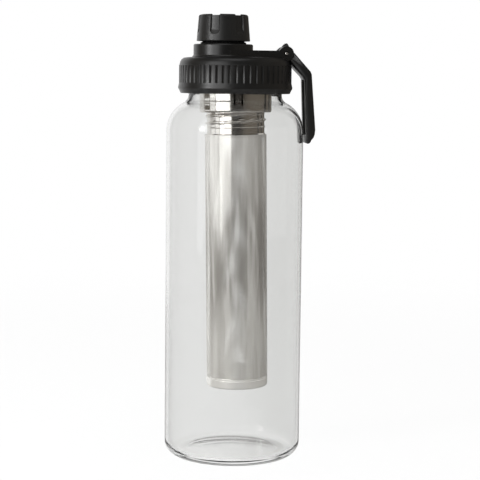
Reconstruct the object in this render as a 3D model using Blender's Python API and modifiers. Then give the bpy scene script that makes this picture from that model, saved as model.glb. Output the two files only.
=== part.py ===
"""Glass tea infuser bottle with a ribbed screw lid, an offset drinking spout,
a swinging carry handle and a hanging steel infuser.

Metres, +Z up. The bottle stands on z = 0 with its axis on the world Z axis.
The carry handle hangs on the +X side and the front of the bottle faces -Y.
"""
import math

import bmesh
import bpy
from mathutils import Matrix, Vector

# Glass bottle
BOTTLE_RADIUS = 0.0425
GLASS_WALL = 0.0020
HEEL_RADIUS = 0.00875
FOOT_WIDTH = 0.0060
PUNT_RISE = 0.0008
PUNT_FLAT_RADIUS = 0.0120
BASE_THICKNESS = 0.0034
INNER_HEEL_RADIUS = 0.0070
SHOULDER_Z = 0.2036
SHOULDER_RADIUS = 0.0200
NECK_RADIUS = 0.0289
NECK_WALL = 0.0026
NECK_FILLET = 0.0012
NECK_LENGTH = 0.0140
LIP_ROUND = 0.0008
BOTTLE_STEPS = 48

# Running and seating clearances
CLEARANCE = 0.0003
SWING_CLEARANCE = 0.0003
RELIEF_CLEARANCE = 0.0006
PIN_CLEARANCE = 0.00025
THREAD_GAP = 0.0013
TOOL_MARGIN = 0.0020
SHARP_ANGLE = math.radians(35.0)

# Infuser, hung in the neck bore by its flange
INFUSER_LEAN = math.radians(0.9)
FLANGE_INSET = 0.0015
FLANGE_THICKNESS = 0.0006
SHEET = 0.0005
COLLAR_GAP = 0.00445
COLLAR_LENGTH = 0.0219
COLLAR_CORNER = 0.0008
SPIGOT_INSET = 0.00495
SPIGOT_LENGTH = 0.0092
TONGUE_COUNT = 3
TONGUE_WIDTH = 0.0034
TONGUE_SLOT = 0.0011
TONGUE_BASE = 0.0035
TONGUE_TOP_MARGIN = 0.0024
RING_CLEARANCE = 0.00045
RING_BEAD = 0.0008
RING_BEAD_WIDTH = 0.0024
RING_TURNS = 2
RING_LEAD = 0.0007
RING_THREAD_LENGTH = 0.0097
BAND_LENGTH = 0.0040
BAND_EDGE = 0.0004
FOOT_LENGTH = 0.0020
MESH_STEP = 0.00135
MESH_WALL = 0.0004
MESH_OVERLAP = 0.0018
MESH_LENGTH = 0.1512
CUP_HEIGHT = 0.0064
CUP_WALL = 0.00045
CUP_SPIGOT = 0.0037
CUP_CORNER = 0.0013
CUP_FLOOR_ROUND = 0.0010
INFUSER_STEPS = 40
INFUSER_SEAL_THICKNESS = 0.0008
INFUSER_SEAL_GAP = 0.00035

# Lid shell, threaded liner and ring seal, from the neck outwards and upwards
LINER_WALL = 0.0022
LINER_INSET = 0.0013
LINER_PLATE = 0.0017
LID_SEAL_THICKNESS = 0.0016
LID_SEAL_WIDTH = 0.0064
SHELL_WALL = 0.00215
SHELL_PLATE = 0.0022
LEDGE_WIDTH = 0.0023
LEDGE_HEIGHT = 0.00414
DOME_CROWN = 0.0007
DOME_ROUND = 0.00445
RIB_COUNT = 54
RIB_DEPTH = 0.0006
RIB_GROOVE = 0.0016
RIB_DROP = 0.0053
RIB_LENGTH = 0.0112
RIB_END = 0.0003
BEAD_PROUD = 0.00055
BEAD_DROP = 0.0027
SKIRT_DROP = 0.0034
SKIRT_EDGE = 0.0011

# Spout and its cap, off the bottle's axis and away from the handle
SPOUT_X = -0.0076
SPOUT_BORE_RADIUS = 0.0110
SPOUT_WALL = 0.0020
SPOUT_LENGTH = 0.0123
SPOUT_LIP = 0.0005
SPOUT_COLLAR_STEP = 0.0012
SPOUT_COLLAR_RISE = 0.0013
TOWER_WALL = 0.0039
TOWER_RISE = 0.0075
TOWER_EDGE = 0.0006
TOWER_FILLET = 0.0008
CAP_GAP = 0.00055
CAP_WALL = 0.00285
CAP_TAPER = 0.00125
CAP_CROWN = 0.0025
CAP_EDGE = 0.0016
CAP_INNER_GAP = 0.0007
CAP_SEAL_THICKNESS = 0.0014
FLUTE_COUNT = 6
FLUTE_RADIUS = 0.0034
FLUTE_DEPTH = 0.0010
FLUTE_LENGTH = 0.0129
FLUTE_ROUND = 0.0014
FLUTE_START = math.radians(-115.5)
SPOUT_STEPS = 36

# Hinge: ears on the lid's arm, the pin through them and the well for the knuckle's nub
PIN_INSET = 0.00425
PIN_RISE = 0.0021
PIN_RADIUS = 0.0011
PIN_END_INSET = 0.0002
EAR_RADIUS = 0.0045
RAMP_GAP = 0.0001
ARM_RISE = 0.0038
ARM_FLARE = 0.0006
WELL_WALL = 0.0021
WELL_END = 0.0024
WELL_CORNER = 0.0010
KNUCKLE_HALF_WIDTH = 0.0045
KNUCKLE_RADIUS = 0.0041
PIN_STEPS = 16
EAR_STEPS = 32
NUB_X = 0.0006
NUB_Z = 0.0064

# Carry handle: a strap that hangs beside the bottle from the knuckle
HANDLE_HALF_WIDTH = 0.0110
HANDLE_DROP = 0.0551
HANDLE_BODY_GAP = 0.0011
HANDLE_EDGE = 0.0005
STRAP_LEAN = 0.0015
STRAP_TOP_THICKNESS = 0.0042
STRAP_FOOT_THICKNESS = 0.0054
STRAP_BEND_DROP = 0.0155
STRAP_BEND_RISE = 0.0017
STRAP_BEND_STAGGER = 0.0029
STRAP_IN_RUN = 0.0010
STRAP_OUT_RUN = 0.0007
STRAP_ROOT_RISE = 0.0007
STRAP_ROOT_X = 0.0011
FOOT_CORNER = 0.0016
FOOT_ROUND = 0.0086
FOOT_STEPS = ((0.0003, 0.0057), (0.0010, 0.0037), (0.0024, 0.0021), (0.0027, 0.0013), (0.0033, 0.0004), (0.0041, 0.0))
WINDOW_HALF_WIDTH = 0.0065
WINDOW_TOP_GAP = 0.0003
WINDOW_FOOT_BAR = 0.0050
WINDOW_CORNER = 0.0020

# Bottle sizes that follow from the ones above
SHOULDER_X = BOTTLE_RADIUS - SHOULDER_RADIUS
NECK_BORE_RADIUS = NECK_RADIUS - NECK_WALL
NECK_FOOT_ANGLE = math.acos((NECK_RADIUS + NECK_FILLET - SHOULDER_X) / SHOULDER_RADIUS)
NECK_FOOT_Z = SHOULDER_Z + SHOULDER_RADIUS * math.sin(NECK_FOOT_ANGLE)
NECK_TOP_Z = NECK_FOOT_Z + NECK_LENGTH

# The stack on the bottle's lip, from the infuser's seal up to the lid's dome
FLANGE_RADIUS = NECK_RADIUS - FLANGE_INSET
LEAN_DROP = FLANGE_RADIUS * math.sin(INFUSER_LEAN)
SEAL_BOTTOM_Z = NECK_TOP_Z + CLEARANCE + LEAN_DROP
FLANGE_BOTTOM_Z = SEAL_BOTTOM_Z + INFUSER_SEAL_THICKNESS + CLEARANCE
FLANGE_TOP_Z = FLANGE_BOTTOM_Z + FLANGE_THICKNESS
LID_SEAL_BOTTOM_Z = FLANGE_TOP_Z + CLEARANCE + LEAN_DROP
LID_SEAL_TOP_Z = LID_SEAL_BOTTOM_Z + LID_SEAL_THICKNESS
LINER_PLATE_Z = LID_SEAL_TOP_Z + CLEARANCE
LINER_TOP_Z = LINER_PLATE_Z + LINER_PLATE
LEDGE_Z = LINER_TOP_Z + CLEARANCE
DOME_TOP_Z = LEDGE_Z + LEDGE_HEIGHT + SHELL_PLATE
DOME_EDGE_Z = DOME_TOP_Z - DOME_CROWN
RIB_TOP_Z = DOME_TOP_Z - RIB_DROP
RIB_BOTTOM_Z = RIB_TOP_Z - RIB_LENGTH
BEAD_Z = RIB_BOTTOM_Z - BEAD_DROP
SKIRT_BOTTOM_Z = BEAD_Z - SKIRT_DROP

# Lid radii
LINER_INNER_RADIUS = NECK_RADIUS + THREAD_GAP
LINER_OUTER_RADIUS = LINER_INNER_RADIUS + LINER_WALL
SHELL_INNER_RADIUS = LINER_OUTER_RADIUS + CLEARANCE
LID_RADIUS = SHELL_INNER_RADIUS + SHELL_WALL
BEAD_RADIUS = LID_RADIUS + BEAD_PROUD
SKIRT_BOTTOM_RADIUS = SHELL_INNER_RADIUS + SKIRT_EDGE
DOME_EDGE_RADIUS = LID_RADIUS - DOME_ROUND
LEDGE_RADIUS = SHELL_INNER_RADIUS - LEDGE_WIDTH
LID_SEAL_OUTER_RADIUS = LINER_INNER_RADIUS - CLEARANCE
LID_SEAL_INNER_RADIUS = LID_SEAL_OUTER_RADIUS - LID_SEAL_WIDTH

# Spout, tower and cap
SPOUT_RADIUS = SPOUT_BORE_RADIUS + SPOUT_WALL
SPOUT_COLLAR_RADIUS = SPOUT_RADIUS + SPOUT_COLLAR_STEP
TOWER_BORE_RADIUS = SPOUT_COLLAR_RADIUS + CLEARANCE
TOWER_RADIUS = TOWER_BORE_RADIUS + TOWER_WALL
TOWER_TOP_Z = DOME_TOP_Z + TOWER_RISE
SPOUT_COLLAR_TOP_Z = TOWER_TOP_Z + SPOUT_COLLAR_RISE
SPOUT_TOP_Z = SPOUT_COLLAR_TOP_Z + SPOUT_LENGTH
CAP_BOTTOM_Z = SPOUT_COLLAR_TOP_Z + CAP_GAP
CAP_SEAL_BOTTOM_Z = SPOUT_TOP_Z + CLEARANCE
CAP_CEILING_Z = CAP_SEAL_BOTTOM_Z + CAP_SEAL_THICKNESS + CLEARANCE
CAP_TOP_Z = CAP_CEILING_Z + CAP_CROWN
CAP_INNER_RADIUS = SPOUT_RADIUS + CAP_INNER_GAP
CAP_BOTTOM_RADIUS = CAP_INNER_RADIUS + CAP_WALL
CAP_TOP_RADIUS = CAP_BOTTOM_RADIUS - CAP_TAPER
FLUTE_BOTTOM_Z = CAP_TOP_Z - FLUTE_LENGTH

# Infuser radii and heights
COLLAR_RADIUS = NECK_BORE_RADIUS - COLLAR_GAP
COLLAR_STEP_Z = FLANGE_BOTTOM_Z - COLLAR_LENGTH
SPIGOT_RADIUS = COLLAR_RADIUS - SPIGOT_INSET
RING_INNER_RADIUS = SPIGOT_RADIUS + RING_CLEARANCE
RING_RADIUS = RING_INNER_RADIUS + SHEET
RING_PITCH = (RING_THREAD_LENGTH - RING_LEAD) / RING_TURNS
MESH_RADIUS = RING_RADIUS + MESH_STEP
MESH_INNER_RADIUS = MESH_RADIUS - MESH_WALL
FOOT_RADIUS = MESH_INNER_RADIUS - CLEARANCE
RING_TOP_Z = COLLAR_STEP_Z - CLEARANCE
BAND_TOP_Z = RING_TOP_Z - RING_THREAD_LENGTH
BAND_BOTTOM_Z = BAND_TOP_Z - BAND_LENGTH
FOOT_BOTTOM_Z = BAND_BOTTOM_Z - FOOT_LENGTH
MESH_TOP_Z = FOOT_BOTTOM_Z + MESH_OVERLAP
MESH_BOTTOM_Z = MESH_TOP_Z - MESH_LENGTH
CUP_TOP_Z = MESH_BOTTOM_Z - CLEARANCE
CUP_BOTTOM_Z = CUP_TOP_Z - CUP_HEIGHT

# Hinge and handle. The handle's outline is given from the pin's axis
PIN_X = LID_RADIUS - PIN_INSET
PIN_Z = DOME_TOP_Z + PIN_RISE
NUB_REACH = math.hypot(NUB_X, NUB_Z)
SLOT_REACH = NUB_REACH + 2.0 * SWING_CLEARANCE
SLOT_HALF_WIDTH = KNUCKLE_HALF_WIDTH + SWING_CLEARANCE
SHOULDER_CUT_RADIUS = EAR_RADIUS + SWING_CLEARANCE
ARM_TOP_Z = DOME_TOP_Z + ARM_RISE
ARM_RAMP_X = PIN_X - EAR_RADIUS - RAMP_GAP
ARM_WELL_X = PIN_X - SLOT_REACH - WELL_WALL
ARM_END_X = PIN_X + WELL_END
ARM_TIP_X = PIN_X + EAR_RADIUS + TOOL_MARGIN
ARM_HALF_WIDTH = HANDLE_HALF_WIDTH
STRAP_FOOT_X = BOTTLE_RADIUS + HANDLE_BODY_GAP - PIN_X
STRAP_IN_X = STRAP_FOOT_X - STRAP_LEAN
STRAP_OUT_X = STRAP_IN_X + STRAP_TOP_THICKNESS
STRAP_OUT_Z = STRAP_BEND_STAGGER - STRAP_BEND_DROP
STRAP_IN_START = (STRAP_ROOT_X, -KNUCKLE_RADIUS - RAMP_GAP)
STRAP_IN_BEND = (STRAP_IN_X - STRAP_IN_RUN, STRAP_BEND_RISE - STRAP_BEND_DROP)
STRAP_IN_LOWER = (STRAP_IN_X, -STRAP_BEND_DROP)
STRAP_IN_FOOT = (STRAP_FOOT_X, FOOT_CORNER - HANDLE_DROP)
STRAP_OUT_START = (EAR_RADIUS + RAMP_GAP, STRAP_ROOT_RISE)
STRAP_OUT_BEND = (STRAP_OUT_X - STRAP_OUT_RUN, STRAP_OUT_Z + STRAP_BEND_RISE)
STRAP_OUT_LOWER = (STRAP_OUT_X, STRAP_OUT_Z)
STRAP_OUT_FOOT = (STRAP_FOOT_X + STRAP_FOOT_THICKNESS, FOOT_ROUND - HANDLE_DROP)
WINDOW_TOP = -STRAP_BEND_DROP - WINDOW_TOP_GAP
WINDOW_BOTTOM = WINDOW_FOOT_BAR - HANDLE_DROP


def clear_scene():
    """Remove every object and its collections."""
    for item in list(bpy.data.objects):
        bpy.data.objects.remove(item, do_unlink=True)
    for group in list(bpy.data.collections):
        bpy.data.collections.remove(group)


def make_collection(name):
    group = bpy.data.collections.new(name)
    bpy.context.scene.collection.children.link(group)
    return group


def make_material(name, colour, roughness, metallic=0.0, transmission=0.0, ior=1.45):
    material = bpy.data.materials.new(name)
    material.use_nodes = True
    shader = material.node_tree.nodes["Principled BSDF"]
    shader.inputs["Base Color"].default_value = (*colour, 1.0)
    shader.inputs["Roughness"].default_value = roughness
    shader.inputs["Metallic"].default_value = metallic
    shader.inputs["Transmission Weight"].default_value = transmission
    shader.inputs["IOR"].default_value = ior
    material.diffuse_color = (*colour, 1.0)
    return material


def add_object(name, mesh, material, group, location=(0.0, 0.0, 0.0), parent=None):
    item = bpy.data.objects.new(name, mesh)
    group.objects.link(item)
    item.location = location
    if material is not None:
        mesh.materials.append(material)
    if parent is not None:
        item.parent = parent
    return item


def to_object(name, shape, material, group, location=(0.0, 0.0, 0.0), parent=None):
    """Turn a finished bmesh into an object, smooth but for its sharp edges."""
    mesh = bpy.data.meshes.new(name)
    shape.to_mesh(mesh)
    shape.free()
    mesh.shade_smooth()
    mesh.set_sharp_from_angle(angle=SHARP_ANGLE)
    return add_object(name, mesh, material, group, location, parent)


def arc(centre_x, centre_z, radius, start, end, count):
    """Points of an arc in degrees, both ends included."""
    points = []
    for step in range(count + 1):
        angle = math.radians(start + (end - start) * step / count)
        points.append((centre_x + radius * math.cos(angle), centre_z + radius * math.sin(angle)))
    return points


def turned(name, profile, steps, material, group, location=(0.0, 0.0, 0.0), parent=None, closed=False):
    """Revolve a profile of (radius, height) points with a Screw modifier."""
    mesh = bpy.data.meshes.new(name)
    count = len(profile)
    edges = [(index, index + 1) for index in range(count - 1)]
    if closed:
        edges.append((count - 1, 0))
    mesh.from_pydata([(radius, 0.0, height) for radius, height in profile], edges, [])
    item = add_object(name, mesh, material, group, location, parent)
    screw = item.modifiers.new("turn", "SCREW")
    screw.axis = "Z"
    screw.angle = math.tau
    screw.steps = steps
    screw.render_steps = steps
    screw.use_merge_vertices = True
    screw.merge_threshold = 0.00001
    screw.use_smooth_shade = True
    return item


def prism(name, outline, half_width, material, group, location=(0.0, 0.0, 0.0), parent=None,
          edge=0.0, axis="Y"):
    """Extrude a flat outline both ways. The outline lies in XZ for axis Y and in XY for axis Z."""
    shape = bmesh.new()
    if axis == "Y":
        corners = [shape.verts.new((x, -half_width, z)) for x, z in outline]
        travel = Vector((0.0, 2.0 * half_width, 0.0))
    else:
        corners = [shape.verts.new((x, y, -half_width)) for x, y in outline]
        travel = Vector((0.0, 0.0, 2.0 * half_width))
    face = shape.faces.new(corners)
    grown = bmesh.ops.extrude_face_region(shape, geom=[face])
    moved = [part for part in grown["geom"] if isinstance(part, bmesh.types.BMVert)]
    bmesh.ops.translate(shape, vec=travel, verts=moved)
    bmesh.ops.recalc_face_normals(shape, faces=shape.faces[:])
    if edge > 0.0:
        index = 1 if axis == "Y" else 2
        rims = [line for line in shape.edges
                if abs(line.verts[0].co[index] - line.verts[1].co[index]) < 1e-9]
        bmesh.ops.bevel(shape, geom=rims, offset=edge, segments=1, affect="EDGES",
                        profile=0.5, material=-1)
    return to_object(name, shape, material, group, location, parent)


def rod(name, radius, half_length, steps, material, group, location=(0.0, 0.0, 0.0), parent=None,
        axis="Y", edge=0.0):
    """A round bar along Y or Z, centred on its origin."""
    shape = bmesh.new()
    bmesh.ops.create_cone(shape, cap_ends=True, segments=steps, radius1=radius, radius2=radius,
                          depth=2.0 * half_length)
    if edge > 0.0:
        rims = [line for line in shape.edges
                if abs(line.verts[0].co.z - line.verts[1].co.z) < 1e-9]
        bmesh.ops.bevel(shape, geom=rims, offset=edge, segments=1, affect="EDGES",
                        profile=0.5, material=-1)
    if axis == "Y":
        bmesh.ops.rotate(shape, matrix=Matrix.Rotation(math.pi / 2.0, 3, "X"), verts=shape.verts[:])
    return to_object(name, shape, material, group, location, parent)


def combine(target, tool, operation):
    """Join, cut or intersect with another object, which becomes a hidden tool."""
    tool.hide_render = True
    tool.display_type = "WIRE"
    change = target.modifiers.new(f"{operation.lower()}_{tool.name}", "BOOLEAN")
    change.operation = operation
    change.solver = "EXACT"
    change.object = tool
    return change


def glass_profile():
    """Inner floor, up the inside, over the lip and down the outside to the punt."""
    inner_radius = BOTTLE_RADIUS - GLASS_WALL
    inner_floor = PUNT_RISE + BASE_THICKNESS
    inner_arc = SHOULDER_RADIUS - GLASS_WALL
    bore = NECK_BORE_RADIUS
    bore_angle = math.degrees(math.acos((bore - SHOULDER_X) / inner_arc))
    ring = BOTTLE_RADIUS - HEEL_RADIUS
    profile = [(0.0, inner_floor)]
    profile += arc(inner_radius - INNER_HEEL_RADIUS, inner_floor + INNER_HEEL_RADIUS,
                   INNER_HEEL_RADIUS, -90.0, 0.0, 4)
    profile += arc(SHOULDER_X, SHOULDER_Z, inner_arc, 0.0, bore_angle, 6)
    profile += [(bore, NECK_TOP_Z - LIP_ROUND), (bore + LIP_ROUND, NECK_TOP_Z)]
    profile += [(NECK_RADIUS - LIP_ROUND, NECK_TOP_Z), (NECK_RADIUS, NECK_TOP_Z - LIP_ROUND)]
    profile += [(NECK_RADIUS, NECK_FOOT_Z + NECK_FILLET),
                (NECK_RADIUS + 0.3 * NECK_FILLET, NECK_FOOT_Z + 0.4 * NECK_FILLET)]
    profile += arc(SHOULDER_X, SHOULDER_Z, SHOULDER_RADIUS, math.degrees(NECK_FOOT_ANGLE), 0.0, 8)
    profile += arc(ring, HEEL_RADIUS, HEEL_RADIUS, 0.0, -90.0, 5)
    profile += [(ring - FOOT_WIDTH, 0.0), (PUNT_FLAT_RADIUS, PUNT_RISE), (0.0, PUNT_RISE)]
    return profile


def shell_profile():
    """Lid shell: dome, ribbed wall, bead and the inside with its seating ledge."""
    profile = [(0.0, DOME_TOP_Z), (0.74 * DOME_EDGE_RADIUS, DOME_TOP_Z), (DOME_EDGE_RADIUS, DOME_EDGE_Z)]
    edge_width = LID_RADIUS - CLEARANCE - DOME_EDGE_RADIUS
    edge_height = DOME_EDGE_Z - RIB_TOP_Z
    for step in (1, 2, 3, 4):
        angle = math.radians(90.0 - 22.5 * step)
        profile.append((DOME_EDGE_RADIUS + edge_width * math.cos(angle),
                        RIB_TOP_Z + 0.0001 + edge_height * math.sin(angle)))
    profile += [(LID_RADIUS, RIB_TOP_Z - 0.0001), (LID_RADIUS, RIB_BOTTOM_Z)]
    profile += [(BEAD_RADIUS - 0.0002, BEAD_Z + 0.0012), (BEAD_RADIUS, BEAD_Z + 0.0003),
                (BEAD_RADIUS, BEAD_Z - 0.0004), (BEAD_RADIUS - 0.0006, BEAD_Z - 0.0013)]
    profile += [(SKIRT_BOTTOM_RADIUS, SKIRT_BOTTOM_Z), (SHELL_INNER_RADIUS, SKIRT_BOTTOM_Z)]
    profile += [(SHELL_INNER_RADIUS, LEDGE_Z), (LEDGE_RADIUS, LEDGE_Z)]
    profile += [(LEDGE_RADIUS, DOME_TOP_Z - SHELL_PLATE), (0.0, DOME_TOP_Z - SHELL_PLATE)]
    return profile


def rib_grooves(group):
    """One groove at each corner of the turned wall, all in one cutter."""
    height = RIB_LENGTH - 2.0 * RIB_END
    middle = (RIB_TOP_Z + RIB_BOTTOM_Z) / 2.0
    side = RIB_GROOVE * 0.5625
    centre = LID_RADIUS - RIB_DEPTH + side * math.cos(math.radians(30.0))
    shape = bmesh.new()
    for index in range(RIB_COUNT):
        made = bmesh.ops.create_cone(shape, cap_ends=True, segments=6, radius1=side, radius2=side,
                                     depth=height)
        place = (Matrix.Rotation(math.tau * index / RIB_COUNT, 4, "Z")
                 @ Matrix.Translation((centre, 0.0, middle))
                 @ Matrix.Rotation(math.radians(30.0), 4, "Z"))
        bmesh.ops.transform(shape, matrix=place, verts=made["verts"])
    return to_object("rib_grooves", shape, None, group)


def cap_flutes(group):
    """Finger flutes that follow the cap's taper, with rounded lower ends."""
    lean = math.atan2(CAP_TAPER, CAP_TOP_Z - CAP_BOTTOM_Z)
    centre = CAP_TOP_RADIUS - FLUTE_DEPTH + FLUTE_RADIUS
    shape = bmesh.new()
    for index in range(FLUTE_COUNT):
        made = bmesh.ops.create_cone(shape, cap_ends=True, segments=14, radius1=FLUTE_RADIUS,
                                     radius2=FLUTE_RADIUS, depth=2.0 * FLUTE_LENGTH)
        ring = [line for line in shape.edges
                if line.verts[0] in made["verts"] and line.verts[1] in made["verts"]
                and line.verts[0].co.z < 0.0 and line.verts[1].co.z < 0.0]
        softened = bmesh.ops.bevel(shape, geom=ring, offset=FLUTE_ROUND, segments=2, affect="EDGES",
                                   profile=0.5, material=-1)
        verts = {vert for vert in made["verts"] if vert.is_valid} | set(softened["verts"])
        place = (Matrix.Rotation(FLUTE_START + math.tau * index / FLUTE_COUNT, 4, "Z")
                 @ Matrix.Translation((centre, 0.0, CAP_TOP_Z))
                 @ Matrix.Rotation(-lean, 4, "Y"))
        bmesh.ops.transform(shape, matrix=place, verts=list(verts))
    return to_object("cap_flutes", shape, None, group, (SPOUT_X, 0.0, 0.0))


def tongue_slots(group, parent):
    """U-shaped cuts that free the spring tongues of the collar at their tops."""
    top = FLANGE_BOTTOM_Z - TONGUE_TOP_MARGIN - FLANGE_TOP_Z
    bottom = COLLAR_STEP_Z + TONGUE_BASE - FLANGE_TOP_Z
    inner = TONGUE_WIDTH / 2.0
    outer = inner + TONGUE_SLOT
    outline = [(-outer, bottom), (-inner, bottom), (-inner, top - TONGUE_SLOT), (inner, top - TONGUE_SLOT),
               (inner, bottom), (outer, bottom), (outer, top), (-outer, top)]
    shape = bmesh.new()
    for index in range(TONGUE_COUNT):
        corners = [shape.verts.new((x, -COLLAR_RADIUS - TOOL_MARGIN, z)) for x, z in outline]
        face = shape.faces.new(corners)
        grown = bmesh.ops.extrude_face_region(shape, geom=[face])
        moved = [part for part in grown["geom"] if isinstance(part, bmesh.types.BMVert)]
        bmesh.ops.translate(shape, vec=(0.0, 2.0 * TOOL_MARGIN, 0.0), verts=moved)
        turn = Matrix.Rotation(math.tau * index / TONGUE_COUNT, 3, "Z")
        bmesh.ops.rotate(shape, matrix=turn, verts=corners + moved)
    bmesh.ops.recalc_face_normals(shape, faces=shape.faces[:])
    return to_object("tongue_slots", shape, None, group, parent=parent)


def build_bottle(parts, materials):
    return turned("glass_body", glass_profile(), BOTTLE_STEPS, materials["glass"], parts)


def build_infuser(parts, tools, materials, axis):
    """Collar, screwed ring, mesh tube, bottom cup and seal on their own leaning axis."""
    datum = FLANGE_TOP_Z
    step = COLLAR_STEP_Z - datum
    flange_low = FLANGE_BOTTOM_Z - datum
    spigot_low = step - SPIGOT_LENGTH
    collar = turned("infuser_collar", [
        (FLANGE_RADIUS, 0.0), (FLANGE_RADIUS, flange_low), (COLLAR_RADIUS, flange_low),
        (COLLAR_RADIUS, step + COLLAR_CORNER), (COLLAR_RADIUS - COLLAR_CORNER, step), (SPIGOT_RADIUS, step),
        (SPIGOT_RADIUS, spigot_low), (SPIGOT_RADIUS - SHEET, spigot_low),
        (SPIGOT_RADIUS - SHEET, step + SHEET), (COLLAR_RADIUS - COLLAR_CORNER - SHEET / 2.0, step + SHEET),
        (COLLAR_RADIUS - SHEET, step + COLLAR_CORNER + SHEET), (COLLAR_RADIUS - SHEET, 0.0)],
        INFUSER_STEPS, materials["steel"], parts, parent=axis, closed=True)
    combine(collar, tongue_slots(tools, axis), "DIFFERENCE")

    top = RING_TOP_Z - datum
    band = BAND_TOP_Z - datum
    low = BAND_BOTTOM_Z - datum
    foot = FOOT_BOTTOM_Z - datum
    half = RING_BEAD_WIDTH / 2.0
    crest = RING_BEAD_WIDTH / 6.0
    outside = [(RING_RADIUS, top), (RING_RADIUS, top - RING_LEAD)]
    for turn_index in range(RING_TURNS):
        middle = top - RING_LEAD / 2.0 - RING_PITCH * (turn_index + 0.5)
        outside += [(RING_RADIUS + 0.5 * RING_BEAD, middle + half), (RING_RADIUS + RING_BEAD, middle + crest),
                    (RING_RADIUS + RING_BEAD, middle - crest), (RING_RADIUS + 0.5 * RING_BEAD, middle - half),
                    (RING_RADIUS, middle - 0.46 * RING_PITCH)]
    outside += [(RING_RADIUS + 0.5 * RING_BEAD, band + 0.4 * BAND_EDGE), (RING_RADIUS + 0.5 * RING_BEAD, band),
                (RING_RADIUS, band - BAND_EDGE), (RING_RADIUS, low + BAND_EDGE),
                (FOOT_RADIUS, low - 0.5 * BAND_EDGE), (FOOT_RADIUS, foot)]
    inside = [(FOOT_RADIUS - SHEET, foot), (FOOT_RADIUS - SHEET, low - 0.5 * BAND_EDGE),
              (RING_INNER_RADIUS, low + BAND_EDGE), (RING_INNER_RADIUS, top)]
    turned("infuser_ring", outside + inside, INFUSER_STEPS, materials["steel"], parts, parent=axis, closed=True)

    turned("infuser_mesh", [
        (MESH_RADIUS, MESH_TOP_Z - datum), (MESH_RADIUS, MESH_BOTTOM_Z - datum),
        (MESH_INNER_RADIUS, MESH_BOTTOM_Z - datum), (MESH_INNER_RADIUS, MESH_TOP_Z - datum)],
        INFUSER_STEPS, materials["mesh"], parts, parent=axis, closed=True)

    base = CUP_BOTTOM_Z - datum
    rim = CUP_TOP_Z - datum
    tip = rim + CUP_SPIGOT
    bore = FOOT_RADIUS - CUP_WALL
    turned("infuser_cup", [
        (0.0, base + SHEET), (bore - CUP_FLOOR_ROUND, base + SHEET), (bore, base + SHEET + CUP_FLOOR_ROUND),
        (bore, tip),
        (FOOT_RADIUS, tip), (FOOT_RADIUS, rim), (MESH_RADIUS, rim), (MESH_RADIUS, base + CUP_CORNER),
        (MESH_RADIUS - 0.35 * CUP_CORNER, base + 0.35 * CUP_CORNER), (MESH_RADIUS - CUP_CORNER, base),
        (0.0, base)], INFUSER_STEPS, materials["steel"], parts, parent=axis)

    seal_top = flange_low - CLEARANCE
    seal_low = seal_top - INFUSER_SEAL_THICKNESS
    seal_bore = COLLAR_RADIUS + INFUSER_SEAL_GAP
    turned("infuser_gasket", [
        (FLANGE_RADIUS, seal_top), (FLANGE_RADIUS, seal_low), (seal_bore, seal_low), (seal_bore, seal_top)],
        INFUSER_STEPS, materials["silicone"], parts, parent=axis, closed=True)


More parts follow.
